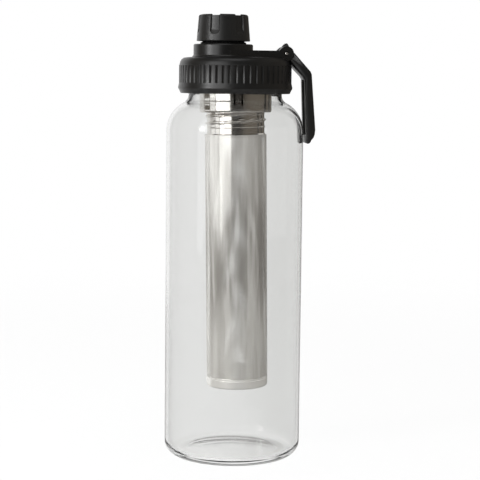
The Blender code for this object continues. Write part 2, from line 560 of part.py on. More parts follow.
def build_lid_shell(parts, tools, materials):
    """Dome and ribbed wall, spout tower, hinge arm with its well, ears and pin bore."""
    shell = turned("lid_shell", shell_profile(), RIB_COUNT, materials["lid"], parts)
    tower_low = DOME_TOP_Z - SHELL_PLATE / 2.0
    tower = turned("tower_form", [
        (0.0, TOWER_TOP_Z), (TOWER_RADIUS - TOWER_EDGE, TOWER_TOP_Z), (TOWER_RADIUS, TOWER_TOP_Z - TOWER_EDGE),
        (TOWER_RADIUS, DOME_TOP_Z + TOWER_FILLET), (TOWER_RADIUS + TOWER_FILLET, DOME_TOP_Z - 0.12 * TOWER_FILLET),
        (TOWER_RADIUS + TOWER_FILLET, tower_low), (0.0, tower_low)], SPOUT_STEPS, None, tools, (SPOUT_X, 0.0, 0.0))
    combine(shell, tower, "UNION")

    ear = []
    reach = math.hypot(PIN_X - ARM_RAMP_X, ARM_TOP_Z - PIN_Z)
    rise = math.asin(EAR_RADIUS / reach) - math.atan2(ARM_TOP_Z - PIN_Z, PIN_X - ARM_RAMP_X)
    start = math.degrees(rise) + 90.0
    ear += arc(PIN_X, PIN_Z, EAR_RADIUS, start, -70.0, 12)
    side = [(SPOUT_X, DOME_TOP_Z - SHELL_PLATE / 2.0), (SPOUT_X, ARM_TOP_Z), (ARM_RAMP_X, ARM_TOP_Z)]
    side += ear
    side += [(PIN_X + STRAP_IN_START[0] - RELIEF_CLEARANCE, PIN_Z + STRAP_IN_START[1] - RELIEF_CLEARANCE),
             (ARM_END_X, RIB_TOP_Z), (SHELL_INNER_RADIUS - CLEARANCE, LEDGE_Z), (ARM_WELL_X, LEDGE_Z),
             (ARM_WELL_X, DOME_TOP_Z - SHELL_PLATE / 2.0)]
    arm = prism("arm_form", side, TOWER_RADIUS, None, tools)
    spread = math.acos((TOWER_RADIUS - ARM_HALF_WIDTH) / (ARM_TIP_X - SPOUT_X))
    touch_x = SPOUT_X + TOWER_RADIUS * math.cos(spread)
    touch_y = TOWER_RADIUS * math.sin(spread)
    plan = [(touch_x, -touch_y), (ARM_WELL_X, -ARM_HALF_WIDTH - ARM_FLARE), (ARM_TIP_X, -ARM_HALF_WIDTH),
            (ARM_TIP_X, ARM_HALF_WIDTH), (ARM_WELL_X, ARM_HALF_WIDTH + ARM_FLARE), (touch_x, touch_y),
            (SPOUT_X, TOWER_RADIUS * 0.9), (SPOUT_X, -TOWER_RADIUS * 0.9)]
    plan_half = SLOT_REACH + EAR_RADIUS + TOOL_MARGIN
    plan_form = prism("arm_plan_form", plan, plan_half, None, tools, (0.0, 0.0, PIN_Z), axis="Z")
    combine(arm, plan_form, "INTERSECT")
    combine(shell, arm, "UNION")

    slot_low = PIN_Z - SLOT_REACH
    slot_high = PIN_Z + EAR_RADIUS + TOOL_MARGIN
    slot_left = PIN_X - SLOT_REACH
    slot = prism("hinge_slot_form", [
        (slot_left, slot_low + WELL_CORNER), (slot_left + WELL_CORNER, slot_low), (ARM_TIP_X, slot_low),
        (ARM_TIP_X, slot_high), (slot_left, slot_high)], SLOT_HALF_WIDTH, None, tools)
    combine(shell, slot, "DIFFERENCE")
    bore_half = TOWER_RISE + SHELL_PLATE + TOOL_MARGIN
    bore = rod("tower_bore_form", TOWER_BORE_RADIUS, bore_half, SPOUT_STEPS, None, tools,
               (SPOUT_X, 0.0, DOME_TOP_Z), axis="Z")
    combine(shell, bore, "DIFFERENCE")
    combine(shell, rib_grooves(tools), "DIFFERENCE")
    hole = rod("hinge_bore_form", PIN_RADIUS + PIN_CLEARANCE, ARM_HALF_WIDTH + TOOL_MARGIN, PIN_STEPS, None,
               tools, (PIN_X, 0.0, PIN_Z))
    combine(shell, hole, "DIFFERENCE")

    rod("hinge_pin", PIN_RADIUS, ARM_HALF_WIDTH - PIN_END_INSET, PIN_STEPS, materials["pin"], parts,
        (PIN_X, 0.0, PIN_Z), edge=PIN_END_INSET)


def build_lid_core(parts, tools, materials):
    """Threaded liner with the drinking spout, and the ring seal under it."""
    low = SKIRT_BOTTOM_Z + LINER_INSET
    core = turned("lid_core", [
        (0.0, LINER_TOP_Z), (LINER_OUTER_RADIUS, LINER_TOP_Z), (LINER_OUTER_RADIUS, low),
        (LINER_INNER_RADIUS, low), (LINER_INNER_RADIUS, LINER_PLATE_Z), (0.0, LINER_PLATE_Z)],
        INFUSER_STEPS, materials["core"], parts)
    spout = turned("spout_form", [
        (0.0, SPOUT_TOP_Z), (SPOUT_RADIUS - SPOUT_LIP, SPOUT_TOP_Z), (SPOUT_RADIUS, SPOUT_TOP_Z - SPOUT_LIP),
        (SPOUT_RADIUS, SPOUT_COLLAR_TOP_Z + 0.2 * SPOUT_LIP),
        (SPOUT_COLLAR_RADIUS, SPOUT_COLLAR_TOP_Z - 0.8 * SPOUT_LIP),
        (SPOUT_COLLAR_RADIUS, LINER_TOP_Z - LINER_PLATE / 2.0), (0.0, LINER_TOP_Z - LINER_PLATE / 2.0)],
        SPOUT_STEPS, None, tools, (SPOUT_X, 0.0, 0.0))
    combine(core, spout, "UNION")
    bore_half = (SPOUT_TOP_Z - LINER_PLATE_Z) / 2.0 + TOOL_MARGIN
    bore = rod("spout_bore_form", SPOUT_BORE_RADIUS, bore_half, SPOUT_STEPS, None, tools,
               (SPOUT_X, 0.0, (LINER_PLATE_Z + SPOUT_TOP_Z) / 2.0), axis="Z")
    combine(core, bore, "DIFFERENCE")

    turned("lid_gasket", [
        (LID_SEAL_OUTER_RADIUS, LID_SEAL_TOP_Z), (LID_SEAL_OUTER_RADIUS, LID_SEAL_BOTTOM_Z),
        (LID_SEAL_INNER_RADIUS, LID_SEAL_BOTTOM_Z), (LID_SEAL_INNER_RADIUS, LID_SEAL_TOP_Z)],
        INFUSER_STEPS, materials["silicone"], parts, closed=True)


def build_spout_cap(parts, tools, materials):
    """Tapered cap with finger flutes, and the disc seal inside it."""
    edge = []
    for step in range(4):
        angle = math.radians(90.0 - 30.0 * step)
        edge.append((CAP_TOP_RADIUS - CAP_EDGE + CAP_EDGE * math.cos(angle),
                     CAP_TOP_Z - CAP_EDGE + CAP_EDGE * math.sin(angle)))
    cap = turned("spout_cap", [(0.0, CAP_TOP_Z)] + edge + [
        (CAP_BOTTOM_RADIUS - 0.0001, CAP_BOTTOM_Z + 0.0007), (CAP_BOTTOM_RADIUS, CAP_BOTTOM_Z + 0.0003),
        (CAP_BOTTOM_RADIUS - 0.0002, CAP_BOTTOM_Z), (CAP_INNER_RADIUS + 0.0004, CAP_BOTTOM_Z),
        (CAP_INNER_RADIUS, CAP_BOTTOM_Z + 0.0004), (CAP_INNER_RADIUS, CAP_CEILING_Z), (0.0, CAP_CEILING_Z)],
        SPOUT_STEPS, materials["cap"], parts, (SPOUT_X, 0.0, 0.0))
    combine(cap, cap_flutes(tools), "DIFFERENCE")
    seal_top = CAP_SEAL_BOTTOM_Z + CAP_SEAL_THICKNESS
    outer = CAP_INNER_RADIUS - CLEARANCE
    turned("spout_cap_gasket", [
        (0.0, seal_top), (outer, seal_top), (outer, CAP_SEAL_BOTTOM_Z), (0.0, CAP_SEAL_BOTTOM_Z)],
        SPOUT_STEPS, materials["silicone"], parts, (SPOUT_X, 0.0, 0.0))


def build_handle(parts, tools, materials):
    """Strap with its window, cleared round the ears and the lid's rim, on a nubbed knuckle."""
    place = (PIN_X, 0.0, PIN_Z)
    strap = [STRAP_OUT_START, STRAP_OUT_BEND, STRAP_OUT_LOWER, STRAP_OUT_FOOT]
    strap += [(STRAP_OUT_FOOT[0] - inset, rise - HANDLE_DROP) for inset, rise in FOOT_STEPS]
    strap += [(STRAP_FOOT_X + 0.4 * FOOT_CORNER, -HANDLE_DROP), (STRAP_FOOT_X, 0.4 * FOOT_CORNER - HANDLE_DROP),
              STRAP_IN_FOOT, STRAP_IN_LOWER, STRAP_IN_BEND, STRAP_IN_START]
    handle = prism("carry_handle", strap, HANDLE_HALF_WIDTH, materials["handle"], parts, place,
                   edge=HANDLE_EDGE)
    reach = HANDLE_HALF_WIDTH + TOOL_MARGIN
    ears = rod("ear_clearance_form", SHOULDER_CUT_RADIUS, reach, EAR_STEPS, None, tools, place)
    combine(handle, ears, "DIFFERENCE")
    rim = turned("rim_relief_form", [
        (0.0, DOME_TOP_Z + RELIEF_CLEARANCE), (DOME_EDGE_RADIUS + RELIEF_CLEARANCE, DOME_TOP_Z + RELIEF_CLEARANCE),
        (LID_RADIUS - 0.34 * DOME_ROUND + RELIEF_CLEARANCE, DOME_EDGE_Z - 0.13 * DOME_ROUND + RELIEF_CLEARANCE),
        (LID_RADIUS - 0.09 * DOME_ROUND + RELIEF_CLEARANCE, DOME_EDGE_Z - 0.49 * DOME_ROUND + RELIEF_CLEARANCE),
        (LID_RADIUS + RELIEF_CLEARANCE, RIB_TOP_Z), (LID_RADIUS + RELIEF_CLEARANCE, SKIRT_BOTTOM_Z),
        (0.0, SKIRT_BOTTOM_Z)], RIB_COUNT, None, tools)
    combine(handle, rim, "DIFFERENCE")

    floor = -SLOT_REACH + SWING_CLEARANCE
    slope = (STRAP_IN_BEND[0] - STRAP_IN_START[0]) / (STRAP_IN_BEND[1] - STRAP_IN_START[1])
    inner_x = STRAP_IN_START[0] + (floor - STRAP_IN_START[1]) * slope
    outer_slope = (STRAP_OUT_BEND[0] - STRAP_OUT_START[0]) / (STRAP_OUT_BEND[1] - STRAP_OUT_START[1])
    outer_x = STRAP_OUT_START[0] + (floor - STRAP_OUT_START[1]) * outer_slope
    knuckle = [(NUB_X - 0.0012, NUB_Z - 0.0008), (NUB_X - 0.0004, NUB_Z - 0.0001), (NUB_X + 0.0002, NUB_Z),
               (NUB_X + 0.0009, NUB_Z - 0.0008), (0.6 * KNUCKLE_RADIUS, 0.9 * KNUCKLE_RADIUS), STRAP_OUT_START,
               (outer_x - 0.0006, floor), (inner_x, floor), STRAP_IN_START]
    knuckle += arc(0.0, 0.0, KNUCKLE_RADIUS, -90.0, -215.0, 9)
    form = prism("knuckle_form", knuckle, KNUCKLE_HALF_WIDTH, None, tools, place)
    combine(handle, form, "UNION")

    hole = rod("knuckle_bore_form", PIN_RADIUS + PIN_CLEARANCE, reach, PIN_STEPS, None, tools, place)
    combine(handle, hole, "DIFFERENCE")
    half = WINDOW_HALF_WIDTH
    corner = WINDOW_CORNER
    window = []
    for centre_y, centre_z, start in (
            (half - corner, WINDOW_TOP - corner, 0.0), (corner - half, WINDOW_TOP - corner, 90.0),
            (corner - half, WINDOW_BOTTOM + corner, 180.0), (half - corner, WINDOW_BOTTOM + corner, 270.0)):
        window += arc(centre_y, centre_z, corner, start, start + 90.0, 3)
    depth = STRAP_LEAN + STRAP_FOOT_THICKNESS + TOOL_MARGIN
    opening = prism("window_form", window, depth, None, tools, (PIN_X + STRAP_IN_LOWER[0], 0.0, PIN_Z))
    opening.rotation_euler = (0.0, 0.0, math.pi / 2.0)
    combine(handle, opening, "DIFFERENCE")


def main():
    clear_scene()
    parts = make_collection("tea_infuser_bottle")
    tools = make_collection("construction_forms")
    materials = {
        "glass": make_material("clear_glass", (0.94, 0.96, 0.95), 0.02, transmission=1.0, ior=1.47),
        "steel": make_material("polished_steel", (0.62, 0.60, 0.57), 0.18, metallic=1.0),
        "mesh": make_material("mesh_steel", (0.55, 0.54, 0.51), 0.35, metallic=1.0),
        "pin": make_material("pin_steel", (0.66, 0.66, 0.65), 0.25, metallic=1.0),
        "lid": make_material("lid_plastic", (0.012, 0.012, 0.012), 0.45),
        "core": make_material("core_plastic", (0.015, 0.015, 0.015), 0.40),
        "cap": make_material("cap_plastic", (0.014, 0.014, 0.014), 0.42),
        "handle": make_material("handle_plastic", (0.012, 0.012, 0.012), 0.38),
        "silicone": make_material("clear_silicone", (0.70, 0.71, 0.70), 0.50),
    }
    axis = bpy.data.objects.new("infuser_axis", None)
    parts.objects.link(axis)
    axis.location = (0.0, 0.0, FLANGE_TOP_Z)
    axis.rotation_euler = (0.0, -INFUSER_LEAN, 0.0)
    build_bottle(parts, materials)
    build_infuser(parts, tools, materials, axis)
    build_lid_shell(parts, tools, materials)
    build_lid_core(parts, tools, materials)
    build_spout_cap(parts, tools, materials)
    build_handle(parts, tools, materials)


main()
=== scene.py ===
"""Tea infuser bottle: fine meshes, finishes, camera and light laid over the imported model.

Metres, +Z up. The bottle stands on z = 0 with its axis on the world Z axis, the carry handle
hangs on the +X side and the camera looks at the -Y side. Sizes in the dataclasses below are
in millimetres, because they are read off a drawing; Form turns them into metres.
"""

import logging
import math
from dataclasses import dataclass
from enum import Enum
from typing import Callable, Iterable, Optional, Sequence, Union

import bmesh
import bpy
from mathutils import Matrix, Vector


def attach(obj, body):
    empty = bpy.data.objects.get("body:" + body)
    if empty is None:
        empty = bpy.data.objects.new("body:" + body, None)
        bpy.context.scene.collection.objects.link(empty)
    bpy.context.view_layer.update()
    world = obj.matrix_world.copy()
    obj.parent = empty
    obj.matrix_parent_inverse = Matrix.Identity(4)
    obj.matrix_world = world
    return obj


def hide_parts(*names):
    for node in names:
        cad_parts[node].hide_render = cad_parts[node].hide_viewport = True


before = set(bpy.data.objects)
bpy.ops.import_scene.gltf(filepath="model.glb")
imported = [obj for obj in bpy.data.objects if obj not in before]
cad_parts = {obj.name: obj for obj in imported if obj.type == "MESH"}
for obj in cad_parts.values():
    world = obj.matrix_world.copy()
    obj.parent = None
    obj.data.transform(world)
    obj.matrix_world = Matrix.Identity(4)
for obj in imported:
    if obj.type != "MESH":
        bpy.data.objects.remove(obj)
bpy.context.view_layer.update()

MM = 0.001
SPOUT_X = -7.6

# An edge is sharp when it turns by more than SHARP degrees. Points closer than CAD_MERGE are one,
# and points within EDGE_REACH of an edge move with it, in millimetres.
SHARP, CAD_MERGE, EDGE_REACH = 32.0, 0.002, 0.35

# Bounds on a ray's depth, as Cycles counts it: one surface or more, in and out again through the
# near wall of the glass (four surfaces), and more surfaces than that.
ONCE, BOTH_WAYS, FARTHER = 0.5, 3.5, 4.5

Point = tuple[float, float]
Triple = tuple[float, float, float]
Colour = Triple
WHITE: Colour = (1.0, 1.0, 1.0)
LOG = logging.getLogger("infuser_bottle")


# ---- shader graph


def operator(operation: str, swap: bool = False) -> Callable[..., "Signal"]:
    """Makes a method that adds a Math node to a signal, which swap puts last."""
    def method(signal: "Signal", *others: "Value") -> "Signal":
        """Result of the operation."""
        operands = (*others, signal) if swap else (signal, *others)
        return signal.graph.math(operation, *operands)

    return method


class Signal:
    """A value, vector or colour in a shader graph. Arithmetic on it adds Math nodes."""

    __add__ = __radd__ = operator("ADD")
    __sub__ = operator("SUBTRACT")
    __rsub__ = operator("SUBTRACT", swap=True)
    __mul__ = operator("MULTIPLY")
    __truediv__ = operator("DIVIDE")
    __mod__ = operator("FLOORED_MODULO")
    __abs__ = operator("ABSOLUTE")
    root = operator("SQRT")
    above = operator("GREATER_THAN")
    least = operator("MINIMUM")
    greatest = operator("MAXIMUM")

    def __init__(self, graph: "Graph", socket: bpy.types.NodeSocket) -> None:
        self.graph = graph
        self.socket = socket

    def ramp(self, low: float, high: float, to_low: float = 0.0, to_high: float = 1.0) -> "Signal":
        """Smooth step from one value to another.

        Args:
            low: Where the step starts.
            high: Where it ends.
            to_low: Value before it.
            to_high: Value after it.

        Returns:
            The stepped signal.
        """
        return self.graph.add("ShaderNodeMapRange", {
            "Value": self, "From Min": low, "From Max": high, "To Min": to_low,
            "To Max": to_high}, interpolation_type="SMOOTHSTEP")("Result")


Value = Union[Signal, float, Sequence[float]]
Key = Union[str, int]


class Graph:
    """One node tree, for a surface or for the world."""

    def __init__(self, tree: bpy.types.NodeTree) -> None:
        self.tree = tree
        self.tree.nodes.clear()

    def add(self, kind: str, sockets: Optional[dict[Key, Value]] = None, **settings: str
            ) -> Callable[[Key], Signal]:
        """Adds a node of any type.

        Args:
            kind: The node's type.
            sockets: Input values or signals by socket name or number.
            settings: Its properties, set before its sockets because they can change them.

        Returns:
            A function that gives the node's outputs by name or number.
        """
        node = self.tree.nodes.new(kind)
        for key, value in settings.items():
            setattr(node, key, value)
        for key, value in (sockets or {}).items():
            if isinstance(value, Signal):
                self.tree.links.new(value.socket, node.inputs[key])
            else:
                node.inputs[key].default_value = value
        return lambda name: Signal(self, node.outputs[name])

    def math(self, operation: str, *operands: Value) -> Signal:
        """Adds a Math node and returns its result."""
        return self.add("ShaderNodeMath", dict(enumerate(operands)), operation=operation)(0)

    def vector(self, operation: str, *operands: Value) -> Signal:
        """Adds a Vector Math node and returns its vector, or its value for LENGTH."""
        node = self.add("ShaderNodeVectorMath", dict(enumerate(operands)), operation=operation)
        return node("Value" if operation == "LENGTH" else "Vector")

    def place(self, kind: str = "Object") -> Signal:
        """Coordinates of one kind. The object's own are in metres."""
        return self.add("ShaderNodeTexCoord")(kind)

    def path(self) -> Callable[[Key], Signal]:
        """The ray's Light Path, as a function that gives its outputs by name."""
        return self.add("ShaderNodeLightPath")

    def split(self, vector: Signal) -> tuple[Signal, Signal, Signal]:
        """X, Y and Z of a vector."""
        node = self.add("ShaderNodeSeparateXYZ", {"Vector": vector})
        return node("X"), node("Y"), node("Z")

    def noise(self, scale: Union[float, Triple], detail: float, roughness: float = 0.6,
              distortion: float = 0.0, shift: Triple = (0.0, 0.0, 0.0)) -> Signal:
        """Noise about 0.5 on the object's coordinates.

        Args:
            scale: Waves in a metre, along all three axes or along each.
            detail: Octaves.
            roughness: Weight of the finer octaves.
            distortion: How far the pattern is pulled about.
            shift: Where a pattern with a scale along each axis starts, in waves.

        Returns:
            The noise's value.
        """
        place = self.place()
        if isinstance(scale, tuple):
            place, scale = self.vector("MULTIPLY_ADD", place, scale, shift), 1.0
        return self.add("ShaderNodeTexNoise", {
            "Vector": place, "Scale": scale, "Detail": detail, "Roughness": roughness,
            "Distortion": distortion})("Fac")

    def cells(self, scale: float) -> Signal:
        """Distance to the nearest point of a Voronoi pattern on the object's coordinates."""
        return self.add("ShaderNodeTexVoronoi", {"Vector": self.place(), "Scale": scale})(
            "Distance")

    def mix(self, low: Value, high: Value, share: Value) -> Signal:
        """Colour between two colours."""
        def full(value: Value) -> Value:
            """A plain colour with its alpha; a signal as it is."""
            return value if isinstance(value, Signal) else (*value, 1.0)

        return self.add("ShaderNodeMix", {"Factor": share, 6: full(low), 7: full(high)},
                        data_type="RGBA")(2)

    def bump(self, height: Signal, depth_mm: float, strength: float,
             over: Optional[Signal] = None) -> Signal:
        """Normal of a height field.

        Args:
            height: Heights from 0 to 1.
            depth_mm: What 1 stands for, in millimetres.
            strength: Share of the effect.
            over: Normal of a coarser field below this one.

        Returns:
            The normal.
        """
        sockets = {"Height": height, "Distance": depth_mm * MM, "Strength": strength}
        if over is not None:
            sockets["Normal"] = over
        return self.add("ShaderNodeBump", sockets)("Normal")

    def principled(self, colour: Signal, gloss: Value, others: dict[Key, Value]) -> Signal:
        """Principled shader of a colour, a roughness and other sockets."""
        return self.add("ShaderNodeBsdfPrincipled", {
            "Base Color": colour, "Roughness": gloss, **others})("BSDF")

    def clear(self) -> Signal:
        """Shader that lets everything through."""
        return self.add("ShaderNodeBsdfTransparent")("BSDF")

    def blend(self, share: Signal, first: Signal, second: Signal) -> Signal:
        """Mix of two shaders, by the share of the second."""
        return self.add("ShaderNodeMixShader", {0: share, 1: first, 2: second})(0)

    def surface(self, shader: Signal, kind: str = "ShaderNodeOutputMaterial") -> None:
        """Ends the graph in an output."""
        self.add(kind, {"Surface": shader})


@dataclass(frozen=True)
class Finish:
    """Base of the finishes: makes one material, once."""

    name: str

    def paint(self, graph: Graph) -> Signal:
        """Builds the surface and returns its shader."""
        raise NotImplementedError

    def material(self) -> bpy.types.Material:
        """The finish as a material, made at its first use."""
        found = bpy.data.materials.get(self.name)
        if found is not None:
            return found
        made = bpy.data.materials.new(self.name)
        made.use_nodes = True
        graph = Graph(made.node_tree)
        graph.surface(self.paint(graph))
        return made


@dataclass(frozen=True)
class SatinPlastic(Finish):
    """Black moulded plastic with a fine spark-eroded grain, soft flow marks and handling gloss."""

    shade: Colour = (0.0062, 0.0062, 0.0060)
    worn: Colour = (0.013, 0.013, 0.0125)
    roughness: float = 0.32
    ior: float = 1.49
    grain_per_m: float = 2600.0
    grain_depth: float = 0.012
    clouds_per_m: float = 46.0
    cloud_depth: float = 0.05
    smears_per_m: Triple = (90.0, 90.0, 260.0)
    specks_per_m: float = 900.0

    def paint(self, graph: Graph) -> Signal:
        """Grain bump, cloudy gloss and a little dust."""
        grain = graph.noise(self.grain_per_m, 2.0)
        pits = graph.cells(self.grain_per_m * 0.55).ramp(0.1, 0.6)
        cloud = graph.noise(self.clouds_per_m, 4.0, distortion=0.4)
        smear = graph.noise(self.smears_per_m, 5.0, 0.62, 0.8)
        dust = graph.noise(self.specks_per_m, 1.0, 0.5).ramp(0.66, 0.78)
        colour = graph.mix(self.shade, self.worn, cloud.ramp(0.42, 0.75) * 0.55 + dust * 0.25)
        gloss = self.roughness + (smear - 0.5) * 0.16 + (grain - 0.5) * 0.08 + dust * 0.05
        flow = graph.bump(cloud, self.cloud_depth, 0.35)
        normal = graph.bump(grain * 0.6 + pits * 0.4, self.grain_depth, 0.8, over=flow)
        return graph.principled(colour, gloss, {"Normal": normal, "IOR": self.ior})


@dataclass(frozen=True)
class SheetSteel(Finish):
    """Polished stainless sheet with faint turning lines round its axis and water marks."""

    colour: Colour = (0.76, 0.74, 0.71)
    stain: Colour = (0.64, 0.61, 0.56)
    roughness: float = 0.10
    metallic: float = 1.0
    lines_per_m: Triple = (60.0, 60.0, 5200.0)
    line_depth: float = 0.003
    marks_per_m: float = 70.0
    spots_per_m: float = 420.0

    def paint(self, graph: Graph) -> Signal:
        """Turning lines run round the axis; marks are larger and softer."""
        lines = graph.noise(self.lines_per_m, 3.0, 0.7)
        marks = graph.noise(self.marks_per_m, 5.0, distortion=0.9)
        spots = graph.cells(self.spots_per_m).ramp(0.05, 0.16, 1.0, 0.0)
        colour = graph.mix(self.colour, self.stain, marks.ramp(0.5, 0.8) * 0.6 + spots * 0.2)
        gloss = self.roughness + (lines - 0.5) * 0.1 + marks.ramp(0.45, 0.75) * 0.07 + spots * 0.05
        return graph.principled(colour, gloss, {
            "Metallic": self.metallic, "Normal": graph.bump(lines, self.line_depth, 0.7)})


@dataclass(frozen=True)
class EtchedMesh(Finish):
    """Thin steel sheet etched with staggered rows of small round holes, read from the UV map.

    One unit of the UV map is one hole along the sheet, and two rows up it.
    """

    colour: Colour = (0.93, 0.915, 0.88)
    # shadow is the dark end of both the random tone and the painted shade by height in paint().
    shadow: Colour = (0.46, 0.44, 0.41)
    hole: float = 0.30
    hole_edge: float = 0.03
    rim: float = 0.16
    row_pitch: float = 1.73
    roughness: float = 0.10
    metallic: float = 0.48
    tones_per_m: Triple = (420.0, 420.0, 26.0)
    streaks_per_m: Triple = (190.0, 190.0, 17.0)
    streaks_from: Triple = (19.3, 0.0, 0.0)
    lines_per_m: Triple = (2600.0, 2600.0, 60.0)

    def paint(self, graph: Graph) -> Signal:
        """Holes cut by alpha, each with a soft rim. The streaks carry painted shade by height:
        darkest at mid height, lighter at the top and the foot, where the steel mirrors the softbox
        and the floor.
        """
        u, v, _ = graph.split(graph.place("UV"))

        def spot(shift: float) -> Signal:
            """Distance to the nearest hole of one of the two staggered grids."""
            across = (u + shift) % 1.0 - 0.5
            up = ((v + shift) % 1.0 - 0.5) * self.row_pitch
            return (across * across + up * up).root()

        far = spot(0.0).least(spot(0.5))
        inside = 1.0 - far.ramp(self.hole - self.hole_edge, self.hole + self.hole_edge)
        rim = far.ramp(self.hole, self.hole + self.rim)
        tone = graph.noise(self.tones_per_m, 4.0)
        streaks = graph.noise(self.streaks_per_m, 2.0, 0.5, 0.3, self.streaks_from)
        lines = graph.noise(self.lines_per_m, 2.0)
        _, _, z = graph.split(graph.place())
        # Painted shade by height: the streaks darken most at mid height and less near the top and
        # the foot, in place of the softbox and floor that the steel mirrors there.
        painted_shade_by_height = z.ramp(0.07, 0.12, 0.25, 0.85) - z.ramp(0.14, 0.19, 0.0, 0.56)
        # shade is the random tone plus the painted shade by height on the streaks.
        shade = tone.ramp(0.42, 0.8) * 0.30 + streaks.ramp(0.38, 0.58) * painted_shade_by_height
        gloss = self.roughness + (tone - 0.5) * 0.12 + (lines - 0.5) * 0.1
        return graph.principled(graph.mix(self.colour, self.shadow, shade), gloss, {
            "Normal": graph.bump(rim * 0.85 + lines * 0.15, 0.02, 0.2),
            "Metallic": self.metallic, "Alpha": 1.0 - inside})


@dataclass(frozen=True)
class ClearGlass(Finish):
    """Blown and moulded clear glass: almost flat, with long faint ripples from the mould."""

    tint: Colour = (0.880, 0.882, 0.877)
    marked: float = 0.985
    ior: float = 1.29
    ripples_per_m: Triple = (34.0, 34.0, 9.0)
    ripple_depth: float = 0.10
    marks_per_m: float = 38.0

    def paint(self, graph: Graph) -> Signal:
        """Ripples along the bottle, and a very thin film of handling marks."""
        ripple = graph.noise(self.ripples_per_m, 2.0, 0.4)
        film = graph.noise(self.marks_per_m, 5.0, distortion=0.7)
        marked = tuple(self.marked * part for part in self.tint)
        colour = graph.mix(self.tint, marked, film.ramp(0.5, 0.8))
        return graph.principled(colour, film.ramp(0.62, 0.9, 0.0, 0.018), {
            "Normal": graph.bump(ripple, self.ripple_depth, 0.5),
            "IOR": self.ior, "Transmission Weight": 1.0})


@dataclass(frozen=True)
class Silicone(Finish):
    """Milky moulded silicone with a dry, slightly uneven skin."""

    colour: Colour = (0.72, 0.73, 0.71)
    dull: Colour = (0.62, 0.62, 0.59)
    roughness: float = 0.46
    ior: float = 1.41
    skin_per_m: float = 1500.0
    mottle_per_m: float = 160.0
    milk: float = 0.25
    milk_reach_m: float = 0.002

    def paint(self, graph: Graph) -> Signal:
        """Soft mottling and a fine orange-peel skin."""
        skin = graph.noise(self.skin_per_m, 3.0)
        mottle = graph.noise(self.mottle_per_m, 4.0)
        gloss = self.roughness + (skin - 0.5) * 0.14 + (mottle - 0.5) * 0.08
        colour = graph.mix(self.colour, self.dull, mottle.ramp(0.4, 0.8))
        return graph.principled(colour, gloss, {
            "Normal": graph.bump(skin, 0.02, 0.7), "IOR": self.ior,
            "Subsurface Weight": self.milk, "Subsurface Scale": self.milk_reach_m})


@dataclass(frozen=True)
class PaleFloor(Finish):
    """Matt white floor that fades into the white surroundings away from the object."""

    name: str = "floor_white"
    colour: Colour = (0.965, 0.965, 0.965)
    dull: Colour = (0.945, 0.945, 0.945)
    roughness: float = 0.8
    mottle_per_m: float = 30.0
    near: float = 0.25
    far: float = 0.95
    bleached: float = 0.78

    def paint(self, graph: Graph) -> Signal:
        """Matt near the object, clear far from it, and paler to the eye than to a mirror."""
        away = graph.vector("LENGTH", graph.place()).ramp(self.near, self.far)
        colour = graph.mix(self.colour, self.dull, graph.noise(self.mottle_per_m, 3.0, 0.5))
        matt = graph.principled(colour, self.roughness, {"Specular IOR Level": 0.0})
        path = graph.path()
        seen = path("Is Camera Ray").greatest(path("Is Transmission Ray"))
        fade = 1.0 - (1.0 - away) * (1.0 - seen * self.bleached)
        return graph.blend(fade, matt, graph.clear())


@dataclass(frozen=True)
class SoftboxCloth(Finish):
    """Glowing cloth of a softbox: even, with soft edges and a brighter upright core.

    Metres, across from its middle and up from the table. Pairs are the ends of a fade, and the
    lit part's foot climbs to inner_low between those of slope.
    """

    name: str = "softbox_cloth"
    strength: float = 2.35
    core: float = 9.0
    core_at: float = -0.30
    core_width: float = 0.20
    core_heart: float = 0.2
    core_foot: Point = (0.22, 0.30)
    core_head: Point = (0.5, 0.75)
    half_width: float = 0.475
    side_fade: float = 0.05
    foot_fade: float = 0.01
    inner_low: float = 0.065
    slope: Point = (-0.30, -0.10)
    slope_fade: float = 0.012
    under_slope: float = 0.12
    high: float = 1.25
    fade: float = 0.25
    wing: bool = False

    def paint(self, graph: Graph) -> Signal:
        """Strength by place: x runs along the cloth, y up it. A wing shows only in the steel."""
        x, y, _ = graph.split(graph.place())
        sides = (abs(x) * -1.0).ramp(-self.half_width, -self.half_width + self.side_fade)
        ends = y.ramp(0.0, self.foot_fade) * (1.0 - y.ramp(self.high - self.fade, self.high))
        climb = x.ramp(*self.slope, 0.0, self.inner_low)
        lit = (y - climb).ramp(-self.slope_fade, self.slope_fade, self.under_slope)
        core = 1.0 - (abs(x - self.core_at) / self.core_width).ramp(self.core_heart, 1.0)
        tall = y.ramp(*self.core_foot) * (1.0 - y.ramp(*self.core_head))
        path = graph.path()
        mirrored = path("Glossy Depth").above(ONCE)
        if self.wing:
            shown = mirrored * path("Transmission Depth").above(BOTH_WAYS)
        else:
            shown = 1.0 - path("Is Transmission Ray") * (1.0 - mirrored)
        glow = graph.add("ShaderNodeEmission", {
            "Strength": lit * self.strength + core * tall * self.core})("Emission")
        return graph.blend(sides * ends * shown, graph.clear(), glow)


class Finishes(Enum):
    """Every finish of the object."""

    GLASS = ClearGlass("glass_clear")
    STEEL = SheetSteel("steel_sheet")
    CUP = SheetSteel("steel_cup", (0.93, 0.92, 0.89), (0.85, 0.83, 0.79), 0.2, 0.6)
    MESH = EtchedMesh("steel_mesh")
    PIN = SheetSteel("steel_pin", roughness=0.2)
    LID = SatinPlastic("plastic_lid")
    CORE = SatinPlastic("plastic_core", roughness=0.28, shade=(0.008, 0.008, 0.008))
    CAP = SatinPlastic("plastic_cap", roughness=0.36, shade=(0.010, 0.010, 0.0097))
    HANDLE = SatinPlastic("plastic_handle", roughness=0.4)
    SILICONE = Silicone("silicone_seal")


# ---- mesh code


